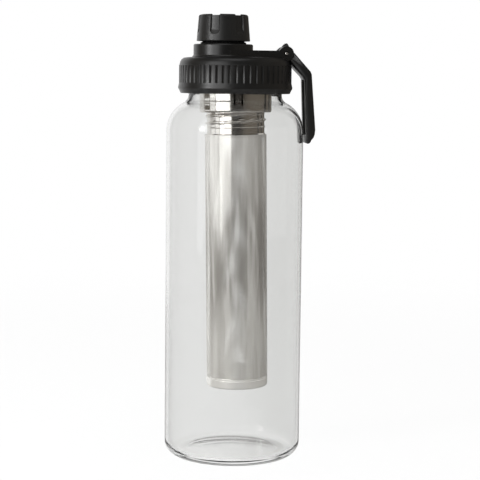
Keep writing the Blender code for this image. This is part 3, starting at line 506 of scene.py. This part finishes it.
def arc(centre: Point, radius: float, start: float, end: float, count: int) -> list[Point]:
    """Points on an arc.

    Args:
        centre: Centre, in millimetres.
        radius: Radius.
        start: First angle in degrees from outward, positive upward.
        end: Last angle.
        count: Number of chords.

    Returns:
        The points, ends included.
    """
    angles = [math.radians(start + (end - start) * step / count) for step in range(count + 1)]
    return [(centre[0] + radius * math.cos(a), centre[1] + radius * math.sin(a)) for a in angles]


def line(start: Point, *legs: Triple) -> list[Point]:
    """Points along straight legs.

    Args:
        start: First point, in millimetres.
        legs: Radius and height of each leg's end, and about how far apart its points are.

    Returns:
        The points, both ends included.
    """
    points = [start]
    for radius, height, pitch in legs:
        count = max(1, round(math.dist(start, (radius, height)) / pitch))
        out, up = radius - start[0], height - start[1]
        points += [(start[0] + out * k / count, start[1] + up * k / count)
                   for k in range(1, count + 1)]
        start = (radius, height)
    return points


def beside(corner: Point, offsets: Iterable[Point]) -> list[Point]:
    """Points given by their offsets from a corner."""
    return [(corner[0] + out, corner[1] + up) for out, up in offsets]


def linked(name: str, data: bpy.types.ID) -> bpy.types.Object:
    """Makes an object of some data and puts it in the scene."""
    made = bpy.data.objects.new(name, data)
    bpy.context.scene.collection.objects.link(made)
    return made


@dataclass(frozen=True)
class Thread:
    """A right-hand thread on a plain wall, in millimetres.

    The crest takes a share of the pitch, its width, and rises from the wall over another, its
    fade. Points within the tolerance of the radius belong to the wall.
    """

    radius: float
    low: float
    high: float
    pitch: float
    depth: float
    width: float
    fade: float = 0.35
    tolerance: float = 0.02

    def __call__(self, radius: float, height: float, angle: float) -> float:
        """New radius of a point at a radius, a height and an angle in radians."""
        turn = (height - self.low) / self.pitch - angle / math.tau
        away = abs(turn - round(turn)) / self.width * 2.0
        if (abs(radius - self.radius) > self.tolerance or away >= 1.0
                or not self.low < height < self.high):
            return radius
        ends = min(height - self.low, self.high - height) / (self.fade * self.pitch)
        rise = self.depth * (0.5 + 0.5 * math.cos(math.pi * away ** 1.5)) * min(1.0, ends)
        return radius + rise


class Form:
    """A mesh under construction, in metres."""

    def __init__(self) -> None:
        self.mesh = bmesh.new()

    @classmethod
    def spun(cls, profile: Sequence[Point], steps: int, closed: bool = False, turns: float = 1.0,
             pitch: float = 0.0) -> "Form":
        """Spins a profile of (radius, height) about the Z axis, or up a right-hand helix.

        Args:
            profile: Points in millimetres. Ends on the axis close there.
            steps: Number of faces in one turn.
            closed: True joins the last point to the first.
            turns: Length of the helix.
            pitch: Rise in one turn. With a pitch the profile is filled, and closes both ends.

        Returns:
            The spun form, with seam and poles closed.
        """
        form = cls()
        mesh = form.mesh
        points = [mesh.verts.new((radius * MM, 0.0, height * MM)) for radius, height in profile]
        if pitch:
            geometry = [mesh.faces.new(points)]
        else:
            pairs = list(zip(points, points[1:])) + ([(points[-1], points[0])] if closed else [])
            geometry = points + [mesh.edges.new(pair) for pair in pairs]
        bmesh.ops.spin(mesh, geom=geometry, cent=(0, 0, 0), axis=(0, 0, 1),
                       dvec=(0, 0, pitch * MM / steps), angle=math.tau * turns,
                       steps=round(turns * steps), use_merge=not pitch, use_duplicate=False)
        form.weld()
        return form

    @classmethod
    def copied(cls, node: bpy.types.Object) -> "Form":
        """Copy of a CAD node's mesh with its doubled points merged."""
        form = cls()
        form.mesh.from_mesh(node.data)
        form.weld(CAD_MERGE)
        return form

    def weld(self, distance: float = 0.0005) -> None:
        """Merges points closer than a distance in millimetres and turns all faces outward."""
        bmesh.ops.remove_doubles(self.mesh, verts=self.mesh.verts, dist=distance * MM)
        bmesh.ops.recalc_face_normals(self.mesh, faces=self.mesh.faces)

    def swell(self, radius_at: Callable[[float, float, float], float]) -> None:
        """Moves points away from the Z axis or toward it.

        Args:
            radius_at: Gives a point's new radius from its radius, height and angle.
        """
        for point in self.mesh.verts:
            radius = math.hypot(point.co.x, point.co.y) / MM
            new = radius_at(radius, point.co.z / MM, math.atan2(point.co.y, point.co.x))
            if new != radius:
                point.co.x *= new / radius
                point.co.y *= new / radius

    def thicken(self, amount: float) -> None:
        """Gives a sheet its thickness in millimetres, on the side away from its normals."""
        bmesh.ops.solidify(self.mesh, geom=self.mesh.faces[:], thickness=amount * MM)
        bmesh.ops.recalc_face_normals(self.mesh, faces=self.mesh.faces)

    def soften(self, width: float) -> None:
        """Rounds every sharp edge by a width in millimetres."""
        bmesh.ops.dissolve_limit(
            self.mesh, angle_limit=math.radians(0.6), use_dissolve_boundaries=False,
            verts=self.mesh.verts, edges=self.mesh.edges)
        edges = [edge for edge in self.mesh.edges
                 if len(edge.link_faces) == 2 and edge.calc_face_angle(0.0) > math.radians(SHARP)]
        bmesh.ops.bevel(
            self.mesh, geom=edges, offset=width * MM, offset_type="OFFSET", segments=2,
            profile=0.5, affect="EDGES", clamp_overlap=True, material=-1)
        self.weld()

    def ease(self, stop: Point, drop: Point) -> None:
        """Draws back the edge along Y at a stop's X and Z, so that it doesn't cut into the stop."""
        edge = [point for point in self.mesh.verts
                if math.dist((point.co.x / MM, point.co.z / MM), stop) < EDGE_REACH]
        bmesh.ops.translate(self.mesh, vec=(drop[0] * MM, 0.0, drop[1] * MM), verts=edge)

    def wrap(self, across: float, up: float) -> None:
        """Writes a UV map by units round the full circle and in a millimetre of height."""
        layer = self.mesh.loops.layers.uv.new("UVMap")
        for face in self.mesh.faces:
            middle = face.calc_center_median()
            home = math.atan2(middle.y, middle.x)
            for loop in face.loops:
                place = loop.vert.co
                turn = (math.atan2(place.y, place.x) - home + math.pi) % math.tau - math.pi
                loop[layer].uv = ((home + turn) / math.tau * across, place.z / MM * up)

    def move(self, matrix: Matrix) -> None:
        """Moves the whole form."""
        bmesh.ops.transform(self.mesh, matrix=matrix, verts=self.mesh.verts)

    def finish(self, name: str, body: str, slot: str, nodes: Sequence[str] = (),
               sharp: float = SHARP, look: Optional[Finishes] = None) -> bpy.types.Object:
        """Turns the form into a piece of the object.

        Args:
            name: The piece's name.
            body: Moving body that it rides on.
            slot: The record's material slot.
            nodes: CAD nodes that it stands for.
            sharp: Edges that turn by more than this many degrees stay sharp.
            look: Its finish, if it isn't the one with the slot's name.

        Returns:
            The piece.
        """
        data = bpy.data.meshes.new(name)
        self.mesh.to_mesh(data)
        self.mesh.free()
        data.materials.clear()
        data.materials.append((look or Finishes[slot.upper()]).value.material())
        data.shade_smooth()
        data.set_sharp_from_angle(angle=math.radians(sharp))
        piece = linked(name, data)
        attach(piece, body)
        if nodes:
            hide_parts(*nodes)
        return piece


# ---- glass bottle


@dataclass(frozen=True)
class BottleSizes:
    """The glass, in millimetres."""

    radius: float = 42.5
    wall: float = 2.0
    heel: float = 8.75
    inner_heel: float = 5.2
    foot_width: float = 6.0
    punt_rise: float = 0.8
    punt_flat: float = 12.0
    punt_slope: float = 6.0
    base: float = 3.4
    shoulder_z: float = 203.6
    shoulder: float = 20.0
    neck: float = 28.9
    neck_wall: float = 2.6
    fillet: float = 5.0
    inner_fillet: float = 7.4
    neck_foot_z: float = 222.1
    neck_top_z: float = 236.1
    lip: float = 0.8
    steps: int = 144
    thread_above_foot: float = 4.2
    thread_below_lip: float = 1.2
    thread_pitch: float = 4.0
    thread_depth: float = 0.6
    thread_width: float = 0.42


class GlassBottle:
    """Bottle body with shoulder, threaded neck, rounded lip and shallow punt."""

    sizes = BottleSizes()

    def join(self, neck: float, fillet: float, shoulder: float) -> Point:
        """Angle in degrees at which a neck's fillet meets the shoulder, and its centre's height."""
        s = self.sizes
        middle = s.radius - s.shoulder
        meet = math.degrees(math.acos((neck + fillet - middle) / (shoulder + fillet)))
        return meet, s.shoulder_z + (shoulder + fillet) * math.sin(math.radians(meet))

    def outside(self) -> list[Point]:
        """Profile from the punt's middle up to the lip."""
        s = self.sizes
        foot = s.radius - s.heel
        rest = foot - s.foot_width
        lip_z = s.neck_top_z - s.lip
        meet, centre_z = self.join(s.neck, s.fillet, s.shoulder)
        return ([(0.0, s.punt_rise), (s.punt_flat * 0.5, s.punt_rise), (s.punt_flat, s.punt_rise),
                 (s.punt_flat + s.punt_slope, s.punt_rise * 0.62), (rest, 0.1), (rest + 0.8, 0.0),
                 (foot - 1.0, 0.0)]
                + arc((foot, s.heel), s.heel, -90.0, 0.0, 14)
                + line((s.radius, s.heel), (s.radius, s.shoulder_z, 12.0))[1:-1]
                + arc((s.radius - s.shoulder, s.shoulder_z), s.shoulder, 0.0, meet, 22)
                + arc((s.neck + s.fillet, centre_z), s.fillet, 180.0 + meet, 180.0, 8)[1:]
                + line((s.neck, centre_z), (s.neck, lip_z, 0.45))[1:]
                + arc((s.neck - s.lip, lip_z), s.lip, 22.5, 90.0, 3))

    def inside(self) -> list[Point]:
        """Profile from the lip down to the floor's middle."""
        s = self.sizes
        bore = s.neck - s.neck_wall
        inner = s.radius - s.wall
        floor = s.punt_rise + s.base
        lip_z, heel_z = s.neck_top_z - s.lip, floor + s.inner_heel
        small, soft = s.shoulder - s.wall, s.inner_fillet
        meet, centre_z = self.join(bore, soft, small)
        return (arc((bore + s.lip, lip_z), s.lip, 90.0, 180.0, 4)
                + line((bore, lip_z), (bore, centre_z, 3.0))[1:-1]
                + arc((bore + soft, centre_z), soft, 180.0, 180.0 + meet, 7)
                + arc((s.radius - s.shoulder, s.shoulder_z), small, meet, 0.0, 18)[1:]
                + line((inner, s.shoulder_z), (inner, heel_z, 12.0))[1:-1]
                + arc((inner - s.inner_heel, heel_z), s.inner_heel, 0.0, -90.0, 12)
                + line((20.0, floor), (0.0, floor, 10.0)))

    def build(self) -> None:
        """Makes the one piece of glass."""
        s = self.sizes
        form = Form.spun(self.outside() + self.inside(), s.steps)
        form.swell(Thread(
            s.neck, s.neck_foot_z + s.thread_above_foot, s.neck_top_z - s.thread_below_lip,
            s.thread_pitch, s.thread_depth, s.thread_width))
        glass = form.finish("bottle_glass", "bottle", "glass", ["glass_body"], sharp=50.0)
        glass.visible_shadow = False
        LOG.info("glass bottle: height %.1f mm", s.neck_top_z)


# ---- infuser


@dataclass(frozen=True)
class InfuserSizes:
    """The infuser on its own axis, in millimetres and degrees. Heights are the bottle's."""

    datum: float = 238.53
    lean: float = 0.9
    sheet: float = 0.5
    flange: float = 27.4
    flange_z: float = 237.93
    flange_bend: float = 1.0
    collar: float = 21.85
    corner: float = 0.8
    step_z: float = 216.03
    step_bend: float = 0.9
    spigot: float = 16.9
    spigot_z: float = 206.83
    spigot_crest: float = 0.38
    slot_columns: int = 2
    tongue_columns: int = 6
    tongue_foot_z: float = 219.53
    tongue_top_z: float = 235.53
    tongue_bar: float = 1.1
    tongue_spring: float = 0.32
    ring: float = 17.85
    ring_inner: float = 17.35
    ring_top_z: float = 215.73
    thread_length: float = 9.7
    thread_pitch: float = 4.5
    bead: float = 0.95
    band_z: float = 202.03
    foot: float = 18.5
    foot_z: float = 200.03
    mesh: float = 19.2
    mesh_wall: float = 0.4
    mesh_top_z: float = 201.83
    mesh_bottom_z: float = 50.63
    holes_round: int = 132
    hole_rows_per_mm: float = 0.63
    cup_top_z: float = 50.33
    cup_z: float = 43.93
    cup_corner: float = 1.3
    cup_bore: float = 18.05
    cup_tip_z: float = 54.03
    steps: int = 128
    collar_steps: int = 240


class Infuser:
    """Steel collar with spring tongues, screwed ring, etched mesh tube and bottom cup."""

    sizes = InfuserSizes()
    TONGUES = 3
    # Outlines of rolled edges, outward and up from a corner, in millimetres.
    RING_BEAD = ((0.32, 0.45), (0.4, 0.2), (0.34, -0.1))
    CUP_GROOVE = ((-0.25, 0.0), (0.0, -0.2), (0.0, -0.9), (-0.22, -1.15), (0.0, -1.4))

    def hang(self, form: Form) -> Form:
        """Leans a form the way the infuser hangs."""
        s = self.sizes
        form.move(Matrix.Translation((0.0, 0.0, s.datum * MM))
                  @ Matrix.Rotation(math.radians(-s.lean), 4, "Y")
                  @ Matrix.Translation((0.0, 0.0, -s.datum * MM)))
        return form

    def collar(self) -> None:
        """Flange, tube with tongue slots, step and spigot, drawn from one sheet."""
        s = self.sizes
        wall, bend, soft = s.collar, s.flange_bend, s.step_bend
        low, corner, inner = s.step_z, s.step_z + s.corner, s.collar - s.corner
        path = (line((s.flange, s.flange_z), (wall + bend, s.flange_z, 1.5))
                + arc((wall + bend, s.flange_z - bend), bend, 90.0, 180.0, 5)[1:]
                + line((wall, s.flange_z - bend), (wall, s.tongue_top_z, 1.0),
                       (wall, s.tongue_top_z - s.tongue_bar, 0.6), (wall, s.tongue_foot_z, 1.0),
                       (wall, corner, 1.2))[1:]
                + arc((inner, corner), s.corner, 0.0, -90.0, 5)[1:]
                + line((inner, low), (s.spigot + soft, low, 1.0))[1:]
                + arc((s.spigot + soft, low - soft), soft, 90.0, 180.0, 5)[1:]
                + line((s.spigot, low - soft), (s.spigot, s.spigot_z, 0.45))[1:])
        form = Form.spun(path, s.collar_steps)
        self.cut_tongues(form)
        form.swell(Thread(s.spigot, s.spigot_z + 0.6, low - 1.2, s.thread_pitch,
                          s.spigot_crest, 0.6))
        form.thicken(s.sheet)
        self.hang(form).finish("collar_sheet", "infuser_head", "steel", ["infuser_collar"])

    def cut_tongues(self, form: Form) -> None:
        """Removes the faces of upside-down U slots and springs their tongues outward."""
        s = self.sizes
        column = math.tau / s.collar_steps
        half = s.tongue_columns / 2
        bar_z = s.tongue_top_z - s.tongue_bar
        doomed = []
        for face in form.mesh.faces:
            middle = face.calc_center_median()
            height = middle.z / MM
            away = self.from_tongue(middle) / column
            if (s.tongue_foot_z < height < s.tongue_top_z and away < half + s.slot_columns
                    and (away > half or height > bar_z)):
                doomed.append(face)
        bmesh.ops.delete(form.mesh, geom=doomed, context="FACES")
        for point in form.mesh.verts:
            share = (point.co.z / MM - s.tongue_foot_z) / (bar_z - s.tongue_foot_z)
            if 0.0 < share < 1.001 and self.from_tongue(point.co) / column < half + 0.1:
                grow = 1.0 + s.tongue_spring * share * share / s.collar
                point.co.x *= grow
                point.co.y *= grow

    def from_tongue(self, place: Vector) -> float:
        """Angle in radians to the middle of the nearest tongue; one tongue faces the front."""
        part = math.tau / self.TONGUES
        angle = (math.atan2(place.y, place.x) + math.pi / 2 + part / 2) % part
        return abs(angle - part / 2)

    def ring(self) -> None:
        """Rolled screw ring with a bead, and the foot that the mesh stands against."""
        s = self.sizes
        band = s.ring_top_z - s.thread_length
        sleeve = s.foot - s.sheet
        outside = (line((s.ring, s.ring_top_z), (s.ring, band + 0.7, 0.3))
                   + beside((s.ring, band), self.RING_BEAD)
                   + line((s.ring, band - 0.4), (s.ring, s.band_z + 0.4, 0.8))
                   + [(s.ring + 0.3, s.band_z + 0.1), (s.foot, s.band_z - 0.2), (s.foot, s.foot_z)])
        inside = ([(sleeve, s.foot_z), (sleeve, s.band_z - 0.2)]
                  + line((s.ring_inner, s.band_z + 0.4), (s.ring_inner, band, 0.8),
                         (s.ring_inner, s.ring_top_z, 0.3)))
        form = Form.spun(outside + inside, s.steps, closed=True)
        low, high = band + 0.5, s.ring_top_z - 0.3
        for wall, width in ((s.ring, 0.5), (s.ring_inner, 0.44)):
            form.swell(Thread(wall, low, high, s.thread_pitch, s.bead, width))
        self.hang(form).finish("ring_rolled", "infuser_basket", "steel", ["infuser_ring"])

    def tube(self) -> None:
        """Mesh tube, whose holes the finish cuts from the UV map."""
        s = self.sizes
        inner = s.mesh - s.mesh_wall
        form = Form.spun(line((s.mesh, s.mesh_top_z), (s.mesh, s.mesh_bottom_z, 4.0))
                         + line((inner, s.mesh_bottom_z), (inner, s.mesh_top_z, 4.0)),
                         s.steps, closed=True)
        form.wrap(s.holes_round, s.hole_rows_per_mm)
        self.hang(form).finish("basket_mesh", "infuser_basket", "mesh", ["infuser_mesh"])

    def cup(self) -> None:
        """Pressed bottom cup with a grooved edge and a rim that stands up inside the mesh."""
        s = self.sizes
        floor, low = s.cup_z + 0.5, s.cup_z + 0.18
        profile = ([(0.0, floor)] + line((3.0, floor), (s.cup_bore - 1.0, floor, 4.0))
                   + arc((s.cup_bore - 1.0, s.cup_z + 1.5), 1.0, -90.0, 0.0, 5)[1:]
                   + line((s.cup_bore, s.cup_z + 1.5), (s.cup_bore, s.cup_tip_z, 2.5))[1:]
                   + [(s.foot, s.cup_tip_z), (s.foot, s.cup_top_z)]
                   + beside((s.mesh, s.cup_top_z), self.CUP_GROOVE)
                   + arc((s.mesh - s.cup_corner, s.cup_z + s.cup_corner), s.cup_corner,
                         0.0, -90.0, 7)
                   + [(14.0, s.cup_z), (13.4, low), (6.0, low), (0.0, low)])
        form = Form.spun(profile, s.steps)
        self.hang(form).finish("basket_cup", "infuser_basket", "steel", ["infuser_cup"],
                               look=Finishes.CUP)

    def build(self) -> None:
        """Makes the infuser's four steel pieces."""
        self.collar()
        self.ring()
        self.tube()
        self.cup()
        LOG.info("infuser: leans %.1f degrees", self.sizes.lean)


# ---- lid and cap


@dataclass(frozen=True)
class ThreadRidge:
    """A moulded thread that stands on a plastic wall, in millimetres and turns."""

    name: str
    body: str
    slot: str
    wall: float
    low: float
    turns: float
    half_width: float
    inward: bool = True
    rise: float = 0.4
    pitch: float = 3.0
    centre_x: float = SPOUT_X
    flat: float = 0.35
    sink: float = 0.15
    taper: float = 0.16
    least: float = 0.12
    steps: int = 96

    def build(self) -> None:
        """Sweeps the ridge and tapers its ends into the wall."""
        side = -1.0 if self.inward else 1.0
        root, crest = self.wall - self.sink * side, self.wall + self.rise * side
        half, narrow = self.half_width, self.flat * self.half_width
        section = [(root, self.low - half), (crest, self.low - narrow),
                   (crest, self.low + narrow), (root, self.low + half)]

        def tapered(radius: float, height: float, _: float) -> float:
            """Radius of the crest near the ends."""
            turn = (height - (self.low - half)) / self.pitch
            near = min(turn, self.turns - turn + 2 * half / self.pitch) / self.taper
            if 0.0 <= near < 1.0 and abs(radius - crest) < 0.05:
                return root + (crest - root) * max(self.least, near)
            return radius

        form = Form.spun(section, self.steps, turns=self.turns, pitch=self.pitch)
        form.swell(tapered)
        form.weld()
        form.move(Matrix.Translation((self.centre_x * MM, 0.0, 0.0)))
        form.finish(self.name, self.body, self.slot)


@dataclass(frozen=True)
class MouldedPart:
    """A plastic or steel part whose CAD shape only needs smooth faces and soft edges."""

    node: str
    piece: str
    body: str
    slot: str
    edge: float = 0.0
    stop: Optional[Point] = None
    drop: Point = (0.06, -0.11)

    def build(self) -> None:
        """Copies the node's mesh, rounds its edges and puts it in the node's place."""
        form = Form.copied(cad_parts[self.node])
        if self.edge:
            form.soften(self.edge)
        if self.stop:
            form.ease(self.stop, self.drop)
        form.finish(self.piece, self.body, self.slot, [self.node])


@dataclass(frozen=True)
class CapSizes:
    """The spout cap round its own axis, in millimetres and degrees."""

    centre_x: float = SPOUT_X
    bottom_z: float = 258.85
    ceiling_z: float = 272.6
    top_z: float = 275.1
    bore: float = 13.7
    bottom: float = 16.55
    top: float = 15.3
    edge: float = 1.6
    dish: float = 0.7
    rim: float = 2.3
    steps: int = 288
    flutes: int = 6
    first_flute: float = -113.75
    flute_half: float = 3.1
    flute_wall: float = 0.6
    flute_depth: float = 1.1
    flute_length: float = 12.7
    flute_fade: float = 3.2


class FlutedCap:
    """Tapered screw cap with a dished top, whose rim the finger flutes cut through."""

    sizes = CapSizes()

    def profile(self) -> list[Point]:
        """Outline from the middle of the top round to the middle of the ceiling."""
        s = self.sizes
        dish_z, edge_z = s.top_z - s.dish, s.top_z - s.edge
        foot = s.top - s.rim
        return ([(0.0, dish_z), (foot * 0.5, dish_z), (foot, dish_z), (foot + 0.35, s.top_z - 0.1),
                 (foot + 0.5, s.top_z)]
                + arc((s.top - s.edge, edge_z), s.edge, 90.0, 0.0, 8)
                + line((s.top, edge_z), (s.bottom - 0.1, s.bottom_z + 0.7, 0.45))[1:]
                + [(s.bottom, s.bottom_z + 0.3), (s.bottom - 0.2, s.bottom_z),
                   (s.bore + 0.4, s.bottom_z), (s.bore, s.bottom_z + 0.4),
                   (s.bore, s.ceiling_z), (0.0, s.ceiling_z)])

    def flute(self, angle: float, height: float) -> float:
        """How far a place lies inside a flute, from 0 outside to 1 on its floor."""
        s = self.sizes
        turn = 360.0 / s.flutes
        off = (math.degrees(angle) - s.first_flute + turn * 0.5) % turn - turn * 0.5
        low = s.top_z - s.flute_length + s.flute_half - height
        away = math.hypot(math.radians(off) * s.top, max(low, 0.0))
        share = min(max((s.flute_half - away) / s.flute_wall, 0.0), 1.0)
        rise = min(max((height - s.top_z + s.flute_length) / s.flute_fade, 0.0), 1.0)
        return share * share * (3.0 - 2.0 * share) * rise

    def carve(self, form: Form) -> None:
        """Presses the flutes into the wall and cuts the rim down where they meet it."""
        s = self.sizes
        taper = (s.bottom - s.top) / (s.top_z - s.bottom_z)
        dish_z = s.top_z - s.dish
        for point in form.mesh.verts:
            radius, height = math.hypot(point.co.x, point.co.y) / MM, point.co.z / MM
            inside = self.flute(math.atan2(point.co.y, point.co.x), height)
            bored = radius < s.bore + 0.1 and height < s.ceiling_z + 0.1
            if inside == 0.0 or radius < s.top - s.rim or bored:
                continue
            limit = s.top + (s.top_z - height) * taper - s.flute_depth * inside
            if radius > limit:
                point.co.x *= limit / radius
                point.co.y *= limit / radius
            point.co.z -= max(height - dish_z, 0.0) * inside * MM

    def build(self) -> None:
        """Makes the cap."""
        form = Form.spun(self.profile(), self.sizes.steps)
        self.carve(form)
        form.weld()
        form.move(Matrix.Translation((self.sizes.centre_x * MM, 0.0, 0.0)))
        form.finish("cap_moulding", "cap", "cap", ["spout_cap"])


class Closure:
    """Lid shell, threaded liner with spout, spout cap, hinge pin, carry handle and seals."""

    PARTS = (
        MouldedPart("lid_shell", "lid_moulding", "lid", "lid", edge=0.12),
        MouldedPart("lid_core", "liner_moulding", "lid", "core"),
        MouldedPart("carry_handle", "handle_moulding", "handle", "handle", stop=(35.35, 252.14)),
        MouldedPart("hinge_pin", "pin_turned", "lid", "pin"),
        MouldedPart("infuser_gasket", "seal_flange", "infuser_head", "silicone"),
        MouldedPart("lid_gasket", "seal_lid", "lid_seal", "silicone"),
        MouldedPart("spout_cap_gasket", "seal_cap", "cap_seal", "silicone"),
    )
    THREADS = (
        ThreadRidge("liner_thread", "lid", "core", 30.2, 228.3, 2.1, 0.8, rise=0.75, pitch=4.0,
                    centre_x=0.0),
        ThreadRidge("spout_thread", "lid", "core", 13.0, 261.5, 2.3, 0.6, inward=False),
        ThreadRidge("cap_thread", "cap", "cap", 13.7, 260.0, 2.0, 0.5),
    )

    def build(self) -> None:
        """Makes every part of the closure."""
        for part in (*self.PARTS, FlutedCap(), *self.THREADS):
            part.build()
        LOG.info("closure: %d parts, %d threads", len(self.PARTS) + 1, len(self.THREADS))


# ---- photograph


def around(azimuth: float, distance: float, height: float) -> Vector:
    """Place at an azimuth in degrees from the camera, positive to its right, in metres."""
    turn = math.radians(View.azimuth + azimuth)
    return Vector((math.sin(turn) * distance, -math.cos(turn) * distance, height))


@dataclass(frozen=True)
class View:
    """The photograph's camera, in millimetres and degrees."""

    distance: float = 937.7
    azimuth: float = -4.5
    height: float = 237.45
    pitch: float = 6.2
    yaw: float = 0.242
    roll: float = 0.6
    lens: float = 113.0
    sensor: float = 36.0

    def build(self) -> None:
        """Makes the camera."""
        turn = math.radians(self.azimuth)
        data = bpy.data.cameras.new("camera")
        data.lens, data.sensor_width = self.lens, self.sensor
        data.clip_start, data.clip_end = 0.01, 50.0
        camera = linked("camera", data)
        place = Vector((math.sin(turn), -math.cos(turn), 0.0)) * self.distance * MM
        place.z = self.height * MM
        camera.matrix_world = (Matrix.Translation(place)
                               @ Matrix.Rotation(turn - math.radians(self.yaw), 4, "Z")
                               @ Matrix.Rotation(math.radians(90.0 - self.pitch), 4, "X")
                               @ Matrix.Rotation(math.radians(self.roll), 4, "Z"))
        bpy.context.scene.camera = camera


@dataclass(frozen=True)
class Lamp:
    """Soft square lamp over the bottle, in metres, degrees from the camera and watts."""

    name: str = "lamp_top"
    azimuth: float = -20.0
    distance: float = 0.3
    height: float = 1.5
    aim: float = 0.13
    size: float = 0.9
    power: float = 2.5

    def build(self) -> None:
        """Makes the lamp, facing the bottle's axis at the aim's height."""
        data = bpy.data.lights.new(self.name, "AREA")
        data.shape = "RECTANGLE"
        data.size = data.size_y = self.size
        data.energy = self.power
        place = around(self.azimuth, self.distance, self.height)
        facing = Vector((0.0, 0.0, self.aim)) - place
        lamp = linked(self.name, data)
        lamp.location, lamp.rotation_euler = place, facing.to_track_quat("-Z", "Y").to_euler()


def staged(name: str, mesh: bmesh.types.BMesh, finish: Finish) -> bpy.types.Object:
    """Uses a mesh up for a piece of the studio, which isn't part of the object."""
    data = bpy.data.meshes.new(name)
    mesh.to_mesh(data)
    mesh.free()
    data.materials.append(finish.material())
    made = linked(name, data)
    return made


@dataclass(frozen=True)
class Softbox:
    """Large upright softbox that stands on the table's level, in metres and degrees."""

    name: str
    azimuth: float
    distance: float
    cloth: SoftboxCloth
    tall: float = 1.25

    def build(self) -> None:
        """Makes the cloth, facing the bottle. The camera doesn't see it."""
        mesh = bmesh.new()
        bmesh.ops.create_grid(mesh, x_segments=1, y_segments=1, size=0.5)
        bmesh.ops.scale(mesh, vec=(2.0 * self.cloth.half_width, self.tall, 1.0), verts=mesh.verts)
        bmesh.ops.translate(mesh, vec=(0.0, self.tall / 2, 0.0), verts=mesh.verts)
        cloth = staged(self.name, mesh, self.cloth)
        cloth.matrix_world = (Matrix.Translation(around(self.azimuth, self.distance, 0.0))
                              @ Matrix.Rotation(math.radians(View.azimuth + self.azimuth), 4, "Z")
                              @ Matrix.Rotation(math.pi / 2, 4, "X"))
        cloth.visible_camera = False


@dataclass(frozen=True)
class Room:
    """White paper round the bottle, and the dim warm room that stands behind what is mirrored.

    Pairs are the ends of a fade along one axis of the direction of view.
    """

    paper_right: Colour = (0.87, 0.87, 0.865)
    right: Point = (0.06, 0.13)
    dim: Colour = (0.035, 0.032, 0.029)
    warm: Colour = (0.165, 0.145, 0.120)
    sides: Point = (0.12, 0.75)
    back: Point = (0.82, 0.98)
    back_slant: float = 0.45
    ceiling: Colour = (0.90, 0.88, 0.85)
    overhead: Point = (0.15, 0.45)
    as_light: float = 0.80

    def build(self) -> None:
        """White to the eye; the room in what is mirrored, unless a ray is guided in the glass."""
        world = bpy.data.worlds.new("world_white")
        world.use_nodes = True
        bpy.context.scene.world = world
        graph = Graph(world.node_tree)
        path = graph.path()
        passed = path("Transmission Depth")
        seen = (path("Is Camera Ray").greatest(path("Is Glossy Ray"))
                .greatest(path("Is Transmission Ray")))
        x, y, z = graph.split(graph.place("Generated"))
        room = graph.mix(self.dim, self.warm, abs(x).ramp(*self.sides))
        room = graph.mix(room, WHITE, (y - x * self.back_slant).ramp(*self.back))
        room = graph.mix(room, self.ceiling, z.ramp(*self.overhead) * passed.above(BOTH_WAYS))
        guided = passed.above(ONCE) * (1.0 - passed.above(BOTH_WAYS)) + passed.above(FARTHER)
        mirrored = path("Glossy Depth").above(ONCE) * (1.0 - guided)
        paper = graph.mix(WHITE, self.paper_right, x.ramp(*self.right) * passed.above(ONCE))
        light = graph.add("ShaderNodeBackground", {
            "Color": graph.mix(paper, room, mirrored),
            "Strength": self.as_light + seen * (1.0 - self.as_light)})("Background")
        graph.surface(light, "ShaderNodeOutputWorld")


class Studio:
    """White surroundings, pale floor, lamp and softboxes."""

    FLOOR_RADIUS = 1.5
    FITTINGS = (
        Room(),
        Lamp(),
        Softbox("softbox", -40.1, 1.05, SoftboxCloth()),
        Softbox("softbox_wing", -76.2, 1.15, SoftboxCloth(
            "softbox_wing_cloth", strength=1.4, core=0.0, half_width=0.24, inner_low=0.0,
            wing=True)),
        Softbox("softbox_low", -101.0, 1.2, SoftboxCloth(
            "softbox_low_cloth", strength=1.3, core=0.0, half_width=0.29, inner_low=0.0,
            high=0.195, fade=0.015, wing=True)),
    )

    def floor(self) -> None:
        """Large pale floor."""
        mesh = bmesh.new()
        bmesh.ops.create_circle(mesh, cap_ends=True, radius=self.FLOOR_RADIUS, segments=96)
        staged("floor", mesh, PaleFloor())

    def build(self) -> None:
        """Makes the studio."""
        self.floor()
        for fitting in self.FITTINGS:
            fitting.build()
        bpy.context.scene.view_settings.view_transform = "Standard"


def main() -> None:
    """Builds the scene: camera, bottle, infuser, closure, studio."""
    logging.basicConfig(level=logging.INFO, format="%(name)s: %(message)s")
    View().build()
    GlassBottle().build()
    Infuser().build()
    Closure().build()
    Studio().build()


if __name__ == "__main__":
    main()
